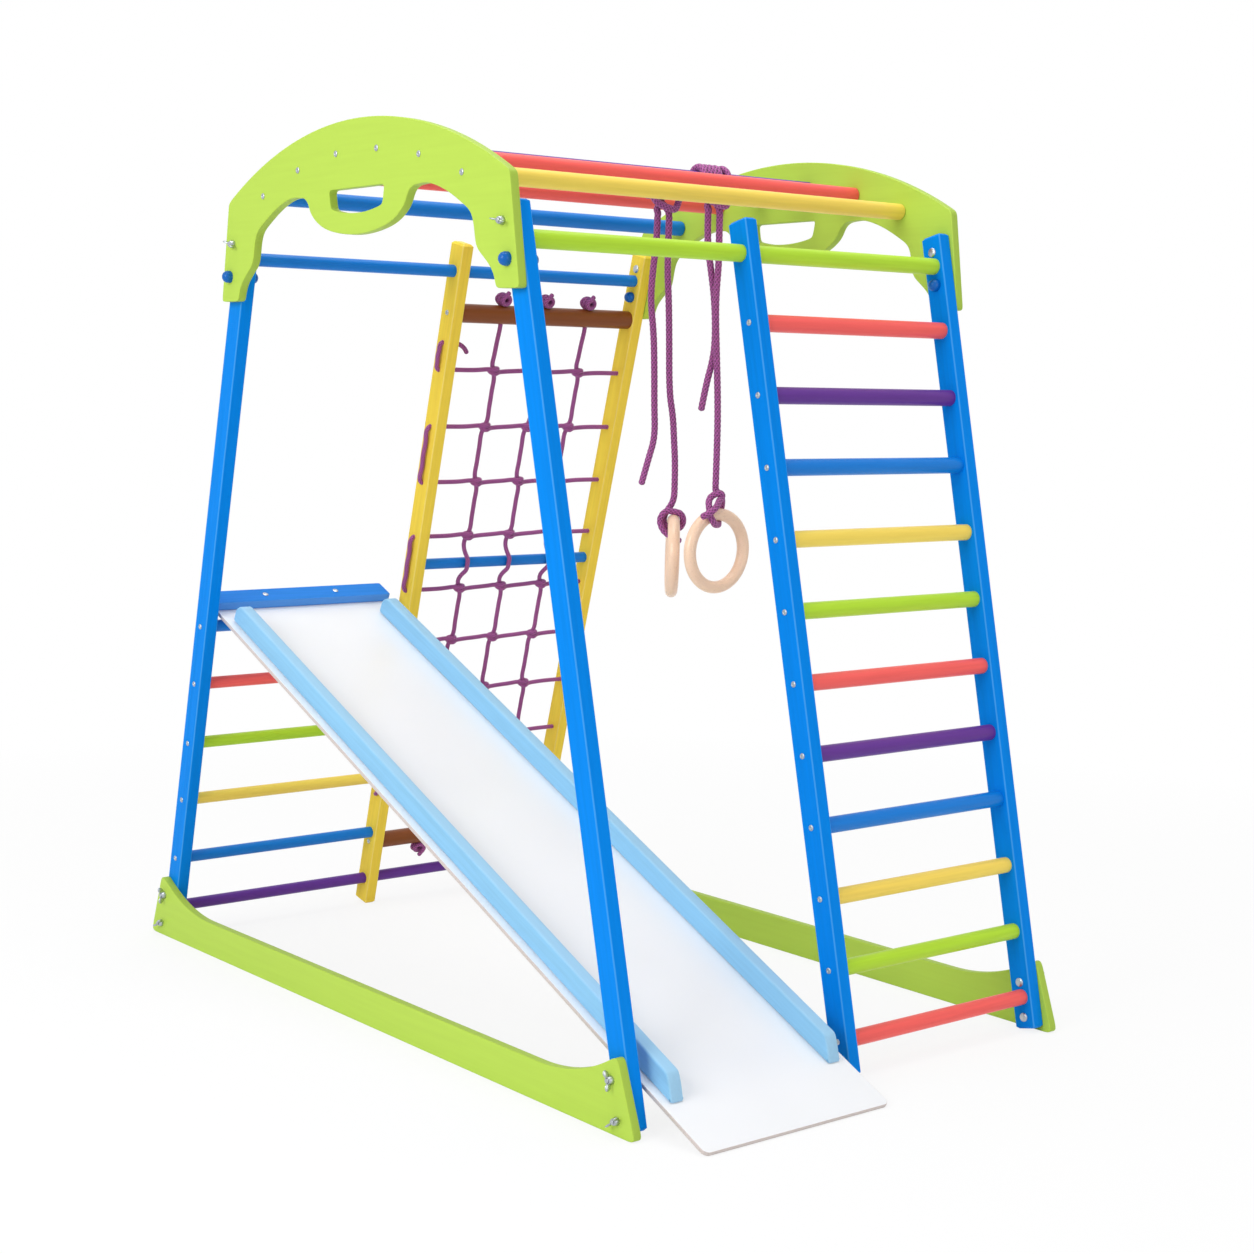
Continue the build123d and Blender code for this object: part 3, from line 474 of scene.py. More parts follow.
def lengths_along(points):
    """How far each point of a line is from its first one, measured along the line."""
    return np.concatenate([[0], np.cumsum(np.linalg.norm(np.diff(points, axis=0), axis=1))])


# A bell curve blurs a right angle into an arc whose radius is this many times its width
BLUR_TO_RADIUS = 1.36


def soft_outline(points, rounding, spacing=2.0):
    """Closed outline in even steps, blurred along itself by a bell curve, which turns each
    corner into an arc of about the radius asked for and leaves long curves where they are."""
    closed = np.asarray(list(points) + [points[0]], float)
    length = lengths_along(closed)
    count = int(length[-1] / spacing)
    at = np.linspace(0, length[-1], count, endpoint=False)
    even = np.interp(at, length, closed[:, 0]) + 1j * np.interp(at, length, closed[:, 1])
    waves = np.fft.fftfreq(count, length[-1] / count) * 2 * np.pi
    smooth = np.fft.ifft(np.fft.fft(even) * np.exp(-0.5 * (waves * rounding / BLUR_TO_RADIUS) ** 2))
    return np.stack([smooth.real, smooth.imag], 1)


def outward(outline):
    """Unit normals of a closed outline, pointing away from its inside."""
    along = np.roll(outline, -1, 0) - np.roll(outline, 1, 0)
    normal = np.stack([along[:, 1], -along[:, 0]], 1)
    following = np.roll(outline, -1, 0)
    area = np.sum(outline[:, 0] * following[:, 1] - following[:, 0] * outline[:, 1])
    return normal / np.linalg.norm(normal, axis=1, keepdims=True) * np.sign(area)


def plate_shape(outline, low, high, edge, place, holes=(), steps=5):
    """Board cut from a sheet: its outline and holes are carried through the thickness, drawn
    in by a quarter round at both faces, and the faces are triangles between them."""
    angle = np.linspace(0, np.pi / 2, steps)
    inset = np.concatenate([[edge + 0.6], edge * (1 - np.sin(angle))])
    depth = np.concatenate([[0], edge * (1 - np.cos(angle))])
    inset = np.concatenate([inset, inset[::-1]])
    depth = np.concatenate([low + depth, high - depth[::-1]])
    walls, rims = [], []
    for line, way in [(outline, 1)] + [(hole, -1) for hole in holes]:
        flat = line[None] - way * inset[:, None, None] * outward(line)[None]
        level = np.broadcast_to(depth[:, None, None], flat.shape[:2] + (1,))
        # Share towards the outer wall: the sheet shows its core colour by it, and painted wood turns it into a painted
        # highlight on rounded edges
        share = np.clip(1 - inset / max(edge, 0.01), 0, 1)[:, None]
        walls.append(grid_shape(place(np.concatenate([flat, level], -1)), share=share))
        rims.append(flat[0])
    triangles = tessellate_polygon([[Vector((a, b, 0)) for a, b in rim] for rim in rims])
    rim = np.concatenate(rims)
    faces = [list(t) for t in triangles]
    for level in (low, high):
        points = np.concatenate([rim, np.full((len(rim), 1), level)], 1)
        walls.append({"points": place(points), "faces": faces, "share": np.zeros(len(rim))})
    return joined(walls)


def across_x(points):
    """An outline in Y and Z whose thickness runs along X."""
    return np.stack([points[..., 2], points[..., 0], points[..., 1]], -1)


def even_steps(path, step):
    """Points at even steps along a path."""
    length = lengths_along(path)
    at = np.linspace(0, length[-1], max(3, int(round(length[-1] / step)) + 1))
    return np.stack([np.interp(at, length, path[:, i]) for i in range(3)], 1), at


def smooth_path(points):
    """Cubic spline through the points by chord length, straight at both its ends: on each
    run the second derivative goes evenly from one point's bend to the next one's."""
    p = np.asarray(points, float)
    t = lengths_along(p)
    h = np.diff(t)[:, None]
    inner = np.arange(1, len(p) - 1)
    system, bends = np.eye(len(p)), np.zeros_like(p)
    system[inner, inner - 1] = h[:-1, 0]
    system[inner, inner] = 2 * (h[:-1, 0] + h[1:, 0])
    system[inner, inner + 1] = h[1:, 0]
    bends[1:-1] = 6 * ((p[2:] - p[1:-1]) / h[1:] - (p[1:-1] - p[:-2]) / h[:-1])
    m = np.linalg.solve(system, bends)
    u = np.linspace(0, t[-1], int(t[-1] * 3))
    k = np.clip(np.searchsorted(t, u, side="right") - 1, 0, len(p) - 2)
    w, v, run = (u - t[k])[:, None], (t[k + 1] - u)[:, None], h[k]
    return (m[k] * v ** 3 + m[k + 1] * w ** 3) / (6 * run) + (p[k] / run - m[k] * run / 6) * v + (
        p[k + 1] / run - m[k + 1] * run / 6) * w


# A braid has this many yarns each way; 16 fine yarns are drawn as 6 broad ones so that they show
BRAID_YARNS = 6
BRAID_RELIEF = 0.1
BRAID_PITCH_SHARE = 1.3
BRAID_STEP_SHARE = 0.26
BRAID_SIDES, NET_SIDES = 24, 20


def rope_shape(path, radius, round_start=True, round_end=True, sides=BRAID_SIDES):
    """Braided rope: a circle carried along a path without twisting. Two families of yarns wind
    round it both ways; at each point a family's height is the cosine of its own phase, the
    product of half phases says which one lies on top, and the higher one lifts the skin."""
    path, along = even_steps(np.asarray(path, float), radius * BRAID_STEP_SHARE)
    tangent = np.gradient(path, axis=0)
    tangent /= np.linalg.norm(tangent, axis=1, keepdims=True)
    side = np.cross(tangent, (0.231, 0.957, 0.174))
    side /= np.linalg.norm(side, axis=1, keepdims=True)
    other = np.cross(tangent, side)
    turn = np.arctan2(np.sum(side[1:] * other[:-1], 1), np.sum(side[1:] * side[:-1], 1))
    turn = -np.concatenate([[0], np.cumsum(turn)])[:, None]
    first = side * np.cos(turn) + other * np.sin(turn)
    second = np.cross(tangent, first)
    angle = full_turn(sides)
    pitch = 2 * math.pi * radius * BRAID_PITCH_SHARE
    wind = 2 * np.pi * along[:, None] / pitch
    one, two = BRAID_YARNS * (angle + wind), BRAID_YARNS * (angle - wind)
    over = 0.45 * np.cos(one / 2) * np.cos(two / 2)
    height = np.maximum(np.cos(one) + over, np.cos(two) - over)
    lift = radius * (1 - BRAID_RELIEF + BRAID_RELIEF * np.clip(height, -0.6, 1.0))
    closing = np.ones(len(along))
    reach = radius * 0.8
    if round_start:
        closing *= np.sqrt(np.clip(1 - (1 - np.clip(along / reach, 0, 1)) ** 2, 0, 1))
    if round_end:
        closing *= np.sqrt(np.clip(1 - (1 - np.clip((along[-1] - along) / reach, 0, 1)) ** 2, 0, 1))
    lift = lift * closing[:, None]
    ring = np.cos(angle)[None, :, None] * first[:, None] + np.sin(angle)[None, :, None] * second[:, None]
    points = path[:, None] + lift[..., None] * ring
    share = np.clip(height * 1.1 - 0.2, 0, 1)
    if not round_start:
        points = np.concatenate([np.broadcast_to(path[0], points[:1].shape), points])
        share = np.concatenate([share[:1], share])
    if not round_end:
        points = np.concatenate([points, np.broadcast_to(path[-1], points[:1].shape)])
        share = np.concatenate([share, share[-1:]])
    return grid_shape(points, share=share)


def post_frame_points(side, points, x=0.0):
    """Points given as steps across, outwards and along a post, in the tower's frame."""
    return turned(np.asarray(points, float) + [x, 0, 0], side * POST_LEAN, 1, 2,
                  (0, MIDDLE + side * HALF_DEPTH, 0))


def box_mm(node):
    """A CAD node's lowest and highest corners in millimetres."""
    low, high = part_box(node)
    return np.array(low) / MM, np.array(high) / MM


def rod_place(node):
    """Depth and height of a rod's centre line."""
    low, high = box_mm(node)
    return (low[1:] + high[1:]) / 2


def route_points(name, points):
    """The route's NURBS curve through its control points, read back as a line of points."""
    curve = bpy.data.curves.new(name + "_route", "CURVE")
    curve.dimensions = "3D"
    curve.resolution_u = 24
    spline = curve.splines.new("NURBS")
    spline.points.add(len(points) - 1)
    spline.points.foreach_set("co", np.concatenate([points * MM, np.ones((len(points), 1))], 1).ravel())
    spline.order_u = 3
    spline.use_endpoint_u = True
    holder = bpy.data.objects.new(name + "_route", curve)
    line = bpy.data.meshes.new_from_object(holder)
    read = np.empty(len(line.vertices) * 3)
    line.vertices.foreach_get("co", read)
    bpy.data.objects.remove(holder)
    bpy.data.curves.remove(curve)
    bpy.data.meshes.remove(line)
    return read.reshape(-1, 3) / MM


# Settings

def colour_setting(name, description, hex_value):
    """Colour property with its default from a hex value."""
    return bpy.props.FloatVectorProperty(
        name=name, description=description, subtype="COLOR", size=4, min=0, max=1, default=linear(hex_value))


def length_setting(name, description, millimetres):
    """Length property with its default in metres."""
    return bpy.props.FloatProperty(
        name=name, description=description, unit="LENGTH", subtype="DISTANCE", min=0, default=millimetres * MM)


class TowerColours(bpy.types.PropertyGroup):
    """Colours of the tower's finishes"""
    lime_plywood: colour_setting("Lime plywood", "Paint of the arches and the floor planks", "#bada54")
    blue_post: colour_setting("Blue post", "Paint of the four blue posts", "#0088ec")
    yellow_post: colour_setting("Yellow post", "Paint of the two posts that hold the net", "#ffdc50")
    red_rod: colour_setting("Red rod", "Paint of the red rods", "#ff645f")
    purple_rod: colour_setting("Purple rod", "Paint of the purple rods", "#632e91")
    blue_rod: colour_setting("Blue rod", "Paint of the blue rods", "#007cd8")
    yellow_rod: colour_setting("Yellow rod", "Paint of the yellow rods", "#ffdc60")
    green_rod: colour_setting("Green rod", "Paint of the green rods", "#b7e233")
    brown_rod: colour_setting("Brown rod", "Stain of the net's thick rods", "#84461a")
    white_sheet: colour_setting("White sheet", "Face of the slide's sheet", "#f5f6f8")
    sheet_core: colour_setting("Sheet core", "Cut edge of the slide's sheet", "#d9cdc8")
    pale_blue_rail: colour_setting("Pale blue rail", "Paint of the slide's rails", "#92caee")
    blue_board: colour_setting("Blue board", "Paint of the slide's top board and hooks", "#2f88e6")
    zinc: colour_setting("Zinc", "Plating of screws, bolts and nuts", "#bcc2c8")
    blue_cap: colour_setting("Blue cap", "Plastic of the round bolt caps", "#0062b8")
    purple_rope: colour_setting("Purple rope", "Yarn of all ropes", "#9c4b8c")
    beech_ring: colour_setting("Beech ring", "Wood of the two rings", "#ffdabc")
    floor: colour_setting("Floor", "Studio floor", "#f6f6f6")


class TowerSizes(bpy.types.PropertyGroup):
    """Sizes that can be tried without changing the CAD frame"""
    post_round: length_setting("Post edge", "Radius of the posts' long edges", POST_ROUND)
    rod_ease: length_setting("Rod end ease", "Chamfer at the ends of the rods", ROD_END_EASE)
    plate_edge: length_setting("Plate edge", "Radius of the arches' and planks' edges", 1.4)
    rail_edge: length_setting("Rail edge", "Radius of the slide rails' edges", 3.2)
    net_rope: length_setting("Net rope", "Radius of the net's rope", NET_ROPE)
    hanging_rope: length_setting("Hanging rope", "Radius of the rings' ropes", ROPE)
    strand_sway: length_setting("Strand step", "How far the net's strands step aside at each row", 4)
    row_step: length_setting("Row step", "How far the net's rows step down at each strand", 1.6)


MATERIALS = {}
FINISHES = {
    "lime_plywood": (lime_plywood, "lime painted plywood"), "zinc": (zinc_plate, "zinc plated steel"),
    "blue_cap": (moulded_plastic, "moulded blue polypropylene"),
    "purple_rope": (braided_rope, "braided purple polyester"), "beech_ring": (beech, "lacquered beech")}


def colour_of(slot):
    """The colour that the settings give a slot."""
    return tuple(getattr(bpy.context.scene.tower_colours, slot))


def finish_for(slot, kind=None):
    """The material of a slot, made when it is first asked for."""
    key = (slot, kind)
    if key not in MATERIALS:
        colour, word = colour_of(slot), slot.split("_")[0]
        if slot in FINISHES:
            finish, name = FINISHES[slot]
            made = finish(name, colour)
        elif slot.endswith("_post"):
            side = "front" if kind == FRONT else "back"
            made = painted_wood("%s paint on %s pine post" % (word, side), colour, 2, kind * POST_LEAN, 0.05)
        elif slot.endswith("_rod"):
            made = painted_wood("%s paint on beech dowel" % word, colour, 0, shine=0.26)
        elif slot == "white_sheet":
            made = laminate_sheet("white melamine on fibre board", colour, colour_of("sheet_core"))
        else:
            along = 1 if slot == "pale_blue_rail" else 0
            made = painted_wood("%s paint on pine" % slot.replace("_", " "), colour, along, SLIDE_SLOPE, 0.04)
        MATERIALS[key] = made
    return MATERIALS[key]


class PieceOperator(bpy.types.Operator):
    """Base of the operators that make the tower's pieces"""
    bl_options = {"REGISTER", "UNDO"}

    def execute(self, context):
        self.make(context.scene.tower_sizes)
        return {"FINISHED"}


class TOWER_OT_posts(PieceOperator):
    """Make the six leaning posts, planed with rounded edges and eased ends"""
    bl_idname = "tower.posts"
    bl_label = "Posts"

    def make(self, sizes):
        outline = rounded_rectangle(POST_SIZE[0] / 2, POST_SIZE[1] / 2, sizes.post_round / MM)
        start = POST_SIZE[1] / 2 * math.tan(POST_LEAN)
        stations = [(start, None), (start, POST_END_EASE), (start + 0.2, POST_END_EASE),
                    (start + POST_END_EASE, 0), (start + POST_END_EASE + 1, 0),
                    (POST_LENGTH - POST_END_EASE - 1, 0), (POST_LENGTH - POST_END_EASE, 0),
                    (POST_LENGTH - 0.2, POST_END_EASE), (POST_LENGTH, POST_END_EASE), (POST_LENGTH, None)]
        half = np.array(POST_SIZE) / 2
        # Painted highlight: the middle points of each rounded corner carry the full crown share, which the paint turns
        # into a paler line
        corner = np.tile([0, 0, 1, 1, 1, 0, 0], 4)[None] * np.ones((len(stations), 1))
        for node, (slot, side) in POSTS.items():
            low, high = box_mm(node)
            scale = [np.zeros(2) if ease is None else 1 - ease / half for place, ease in stations]
            points = np.stack([np.concatenate([outline * s, np.full((len(outline), 1), place)], 1)
                               for (place, ease), s in zip(stations, scale)])
            shape = grid_shape(post_frame_points(side, points, (low[0] + high[0]) / 2), share=corner)
            new_piece(node + "_timber", shape, slot, "frame", [node], side)


class TOWER_OT_rods(PieceOperator):
    """Make every round rod: ladder rungs, monkey bars, rails, back rungs and the net's rods"""
    bl_idname = "tower.rods"
    bl_label = "Rods"

    def make(self, sizes):
        ease = sizes.rod_ease / MM
        for node, colour in RODS.items():
            low, high = box_mm(node)
            radius = (high[2] - low[2]) / 2
            length = high[0] - low[0]
            profile = [(0, 0), (0, radius - ease - 0.3), (0, radius - ease), (ease, radius), (ease + 1, radius),
                       (length - ease - 1, radius), (length - ease, radius), (length, radius - ease),
                       (length, radius - ease - 0.3), (length, 0)]
            shape = turned_shape(profile, (low[0], *rod_place(node)), sides=56)
            new_piece(node + "_dowel", shape, colour + "_rod", "frame", [node], sharp=50)


def arc_over(half, sag, count):
    """Arc over a chord of a half width: its radius is (half squared + sag squared) / twice the
    sag. Gives the radius, and the steps across and up from the circle's centre."""
    radius = (half ** 2 + sag ** 2) / (2 * sag)
    reach = math.asin(half / radius)
    angle = np.linspace(-reach, reach, count)
    return radius, radius * np.sin(angle), radius * np.cos(angle)


def arch_outline():
    """Arch: a top arc through three points, straight shoulders, feet, and a spline below."""
    rise = ARCH_TOP - ARCH_BOTTOM
    radius, across, up = arc_over(SHOULDER_HALF, ARCH_TOP - SHOULDER_HEIGHT, 90)
    top = np.stack([across, ARCH_TOP - radius + up], 1)
    under = np.array([(ARCH_HALF * a, ARCH_BOTTOM + rise * b, 0) for a, b in UNDER_EDGE])
    both = np.concatenate([under[::-1], under[1:] * [-1, 1, 1]])
    below = smooth_path(both)[::5, :2]
    line = np.concatenate([top, [[ARCH_HALF, ARCH_BOTTOM]], below, [[-ARCH_HALF, ARCH_BOTTOM]]])
    return soft_outline(line + [MIDDLE, 0], PLATE_CORNER)


def hand_hole_outline():
    """Hand hole: a flat top, sides that draw in, and a shallow arc below."""
    (top_half, top), (half, side), bottom = HAND_HOLE
    radius, across, up = arc_over(half, side - bottom, 30)
    low = np.stack([across, bottom + radius - up], 1)
    line = np.concatenate([low, [[top_half, top], [-top_half, top]]])
    return soft_outline(line + [MIDDLE, 0], PLATE_CORNER)


def plank_outline():
    """Floor plank: low in the middle, rising by an arc to each end, with leaning ends."""
    reach = np.linspace(0, PLANK_TOP_HALF - PLANK_ARC_START, 40)
    rise = PLANK_HEIGHT + PLANK_ARC_RADIUS - np.sqrt(PLANK_ARC_RADIUS ** 2 - reach ** 2)
    right = np.stack([PLANK_ARC_START + reach, rise], 1)
    line = np.concatenate([right, [[PLANK_HALF, 0], [-PLANK_HALF, 0]], right[::-1] * [-1, 1]])
    outline = soft_outline(line + [MIDDLE, 0], PLANK_CORNER)
    outline[:, 1] = np.maximum(outline[:, 1], 0)
    return outline


class TOWER_OT_plates(PieceOperator):
    """Make the arches and the floor planks of painted plywood"""
    bl_idname = "tower.plates"
    bl_label = "Plates"

    def make(self, sizes):
        edge = sizes.plate_edge / MM
        cuts = {"arch": (arch_outline(), [hand_hole_outline()]), "base_plank": (plank_outline(), [])}
        for hand in ("left", "right"):
            for kind, (outline, holes) in cuts.items():
                low = OUTER_FACE if hand == "right" else -OUTER_FACE - PLATE_THICKNESS
                shape = plate_shape(outline, low, low + PLATE_THICKNESS, edge, across_x, holes)
                node = "%s_%s" % (hand, kind)
                new_piece(node + "_board", shape, "lime_plywood", "frame", [node])


def row_path(place, step):
    """One row of the net: straight between the strands, which it reaches a little high and
    leaves a little low, with a turn round each that passes in front twice."""
    points = [(NET_LEFT - ROPE_SINK, 0, place), (NET_LEFT + STRAIGHT, 0, place)]
    wrap = [(-24, 0, step * 0.8), (-10, -1.8, step + 0.8), (-4.6, -5.4, 2.8), (1.3, -7.2, 3.9), (5.8, -3.5, 4.2),
            (5.4, 3.5, 3.1), (0, 7, 1), (-5.5, 3.3, -1), (-5.7, -3.3, -2.5), (-0.8, -7.2, -3.8),
            (4.6, -5.4, -3.2), (10, -1.8, -step - 1), (24, 0, -step * 0.8)]
    for x in STRANDS:
        points += [(x + a, b, place + c) for a, b, c in wrap]
    return smooth_path(points + [(NET_RIGHT - STRAIGHT, 0, place), (NET_RIGHT + ROPE_SINK, 0, place)])


def stopper_points():
    """Knot that stops a strand on a thick rod: its loose end stands up, goes twice round a
    tight curl while it moves back by two ropes' widths, and leaves downwards."""
    reach = NET_ROPE * 2.3
    angle = np.radians(np.linspace(150, 900, 25))
    back = np.linspace(-NET_ROPE, NET_ROPE, 25) * 2.1
    curl = np.stack([reach * np.cos(angle), back, 0.76 * reach * np.sin(angle)], 1)
    return [(2.5, -9, 15), (-2.5, -9, 9)] + curl.tolist() + [(-4.8, 4.6, -7.5), (0, 0, -14)]


def strand_path(x, step):
    """One upright strand: a stopper knot over the top rod, straight through it, stepping
    aside at each row to the one side and then the other, bowed in front of the middle rod,
    and knotted under the bottom rod."""
    points = [(x + a, b, TOP_ROD + STOPPER_REACH + c) for a, b, c in stopper_points()]
    points += [(x, 0, TOP_ROD), (x, 0, TOP_ROD - STRAIGHT)]
    drop = TOP_ROD - STRAIGHT - ROW_TOP - BESIDE_ROW
    points += [(x - step * share, 0, TOP_ROD - STRAIGHT - drop * share) for share in (0.3, 0.6, 0.85)]
    for i in range(ROW_COUNT):
        place = ROW_TOP - ROW_PITCH * i
        side = step if i % 2 else -step
        points += [(x + side, 0, place + BESIDE_ROW), (x, 0, place), (x - side, 0, place - BESIDE_ROW)]
        if i == BOW_ROW:
            points += [(x - side * share, b, MIDDLE_ROD + c) for share, b, c in BOW]
        elif i < ROW_COUNT - 1:
            points += [(x - side, 0, place - BESIDE_ROW - (ROW_PITCH - 2 * BESIDE_ROW) * share)
                       for share in (0.25, 0.5, 0.75)]
    points += [(x, 0, BOTTOM_ROD + STRAIGHT), (x, 0, BOTTOM_ROD)]
    points += [(x - a, b, BOTTOM_ROD - STOPPER_REACH - c) for a, b, c in stopper_points()[::-1]]
    return smooth_path(points)


def lace_path(face, way, upper, lower, step):
    """Lacing on a post: out of one hole, bowed away from the face, and into the next."""
    out, rise = NET_ROPE + 0.6, upper - lower
    route = [(-ROPE_SINK, 0, upper), (1, 0.1, upper), (out, 0.5, upper - 3.5), (out + 0.4, 1, upper - rise * 0.25),
             (out + 1.4, 1, upper - rise * 0.5), (out + 0.4, 1, upper - rise * 0.75), (out, 0.5, lower + 3.5),
             (1, 0.1, lower), (-ROPE_SINK, 0, lower)]
    return smooth_path([(face + way * away, step * share, height) for away, share, height in route])


class TOWER_OT_net(PieceOperator):
    """Make the climbing net: rows, upright strands and the lacing through the posts"""
    bl_idname = "tower.net"
    bl_label = "Climbing net"

    def make(self, sizes):
        radius, sway = sizes.net_rope / MM, sizes.strand_sway / MM
        rows = [ROW_TOP - ROW_PITCH * i for i in range(ROW_COUNT)]
        step = sizes.row_step / MM
        left, right = NET_LEFT - POST_SIZE[0], NET_RIGHT + POST_SIZE[0]
        laces = [lace_path(left, -1, TAIL_HOLE, rows[0], 0)]
        laces += [lace_path(left, -1, rows[i], rows[i + 1], LOW_LACE_STEP if i >= LOW_LACE_ROW else 0)
                  for i in (1, 3, 5, 7)]
        laces += [lace_path(right, 1, rows[i], rows[i + 1], 0) for i in (0, 2, 4, 6)]
        laces.append(smooth_path([(NET_LEFT + a, b, TAIL_HOLE + c) for a, b, c in TAIL]))
        groups = {"net_rows": [row_path(place, step) for place in rows],
                  "net_strands": [strand_path(x, sway) for x in STRANDS], "net_lacing": laces}
        for name, paths in groups.items():
            shape = joined([rope_shape(path, radius, sides=NET_SIDES) for path in paths])
            shape = moved(shape, lambda points: post_frame_points(BACK, points))
            new_piece(name, shape, "purple_rope", "frame", ["climbing_net"], sharp=180)


def on_slide(points):
    """Points of the slide's own frame, in the tower's frame."""
    return turned(points, SLIDE_SLOPE, 1, 2, SLIDE_AT)


def along_slide(points):
    """An outline up the slope and out of the sheet, whose thickness runs across the slide."""
    return on_slide(across_x(points))


class TOWER_OT_slide(PieceOperator):
    """Make the slide: its sheet, two rails, the top board and the hooks under it"""
    bl_idname = "tower.slide"
    bl_label = "Slide"

    def make(self, sizes):
        cut = SHEET_HALF - FOOT_CUT
        corners = [(-SHEET_HALF, SHEET_HEAD), (-SHEET_HALF, SHEET_FOOT + FOOT_CUT), (-cut, SHEET_FOOT),
                   (cut, SHEET_FOOT), (SHEET_HALF, SHEET_FOOT + FOOT_CUT), (SHEET_HALF, SHEET_HEAD)]
        sheet = plate_shape(soft_outline(corners, 3), SHEET_BOTTOM, SHEET_TOP, SHEET_EDGE, on_slide)
        sheet["share"] = np.where(np.abs(sheet["share"]) < 0.02, 0.0, 1.0)
        new_piece("slide_sheet_board", sheet, "white_sheet", "slide", ["slide_sheet"],
                  share_name="cut_edge", sharp=50)
        rail = soft_outline([(RAIL_FOOT, SHEET_TOP), (RAIL_HEAD, SHEET_TOP), (RAIL_HEAD, SHEET_TOP + 22),
                             (RAIL_HEAD - 10, SHEET_TOP + RAIL_HEIGHT), (RAIL_FOOT + 28, SHEET_TOP + RAIL_HEIGHT),
                             (RAIL_FOOT + 16, SHEET_TOP + 20)], 5, 2.5)
        for hand, middle in (("left", -RAIL_MIDDLE), ("right", RAIL_MIDDLE)):
            shape = plate_shape(rail, middle - RAIL_HALF, middle + RAIL_HALF, sizes.rail_edge / MM, along_slide)
            node = "slide_%s_rail" % hand
            new_piece(node + "_timber", shape, "pale_blue_rail", "slide", [node])
        board = soft_outline([(-BOARD_HALF, BOARD_FOOT), (BOARD_HALF, BOARD_FOOT), (BOARD_HALF, SHEET_HEAD),
                              (-BOARD_HALF, SHEET_HEAD)], 4)
        shape = plate_shape(board, SHEET_TOP, SHEET_TOP + BOARD_THICKNESS, BOARD_EDGE, on_slide)
        new_piece("slide_top_board_timber", shape, "blue_board", "slide", ["slide_top_board"])
        angle = np.linspace(np.pi, 0, 24)
        notch = np.stack([HOOK_NOTCH * np.cos(angle), HOOK_NOTCH * np.sin(angle)], 1)
        outline = soft_outline(np.concatenate([
            [(HOOK_LIP, SHEET_BOTTOM), (HOOK_LIP, HOOK_DROP), (-HOOK_NOTCH, HOOK_DROP)], notch,
            [(HOOK_NOTCH, HOOK_DROP), (SHEET_HEAD, HOOK_DROP), (SHEET_HEAD, SHEET_BOTTOM)]]), 1.2, 1)
        hooks = [plate_shape(outline, x - HOOK_HALF, x + HOOK_HALF, HOOK_EDGE, along_slide) for x in HOOK_PLACES]
        new_piece("slide_hook_blocks", joined(hooks), "blue_board", "slide", ["slide_hooks"])


def dome_profile(radius, height, collar, steps):
    """Half of a flattened ball on a short collar, from its rim to its pole."""
    angle = np.linspace(0, np.pi / 2, steps)
    return [(0, 0), (0, radius)] + [(collar + (height - collar) * math.sin(a), radius * math.cos(a)) for a in angle]


def screw_head(face, way, depth, height):
    """Pan head with a round recess in its middle."""
    radius, rise = SCREW_RADIUS, SCREW_RISE
    profile = [(0, 0), (0, radius * 0.96), (rise * 0.35, radius), (rise * 0.75, radius * 0.9), (rise, radius * 0.68),
               (rise, radius * 0.46), (rise * 0.9, radius * 0.4), (rise * 0.3, radius * 0.3), (rise * 0.2, 0)]
    return turned_shape(profile, (face, depth, height), (way, 0, 0), sides=20)


def post_place(side, place):
    """Depth and height of a point on a post's centre line."""
    point = post_frame_points(side, np.array([[0, 0, place]]))[0]
    return point[1], point[2]


def wing_nut_shape(face, way, depth, height, turn):
    """Wing nut: a coned hub, two ears that are flattened balls spread in a V, and the
    bolt's end, whose radius goes up and down once for each turn of its thread."""
    hub = turned_shape([(0, 0), (0, 6), (2, 6), (7, 4.6), (7.4, 4.2), (7.4, 0)], (face, depth, height), (way, 0, 0), 24)
    steps = np.linspace(0, 9, 73)
    thread = [(s, 2.9 + 0.25 * math.cos(2 * math.pi * s)) for s in steps]
    bolt = turned_shape([(0, 0)] + thread + [(9.4, 2.3), (9.4, 0)], (face, depth, height), (way, 0, 0), 16)
    u, v = np.meshgrid(np.linspace(0, np.pi, 13), full_turn(20), indexing="ij")
    ears = []
    for ear in (-1, 1):
        out = 5.6 * np.cos(u)
        rise = 4.6 * np.sin(u) * np.cos(v)
        thick = 1.5 * np.sin(u) * np.sin(v)
        away = ear * (8.4 + out - rise * 0.3)
        up = 7.4 + rise + out * 0.45
        c, s = math.cos(turn), math.sin(turn)
        points = np.stack([face + way * up, depth + away * c - thick * s, height + away * s + thick * c], -1)
        ears.append(grid_shape(points))
    return joined([hub, bolt] + ears)


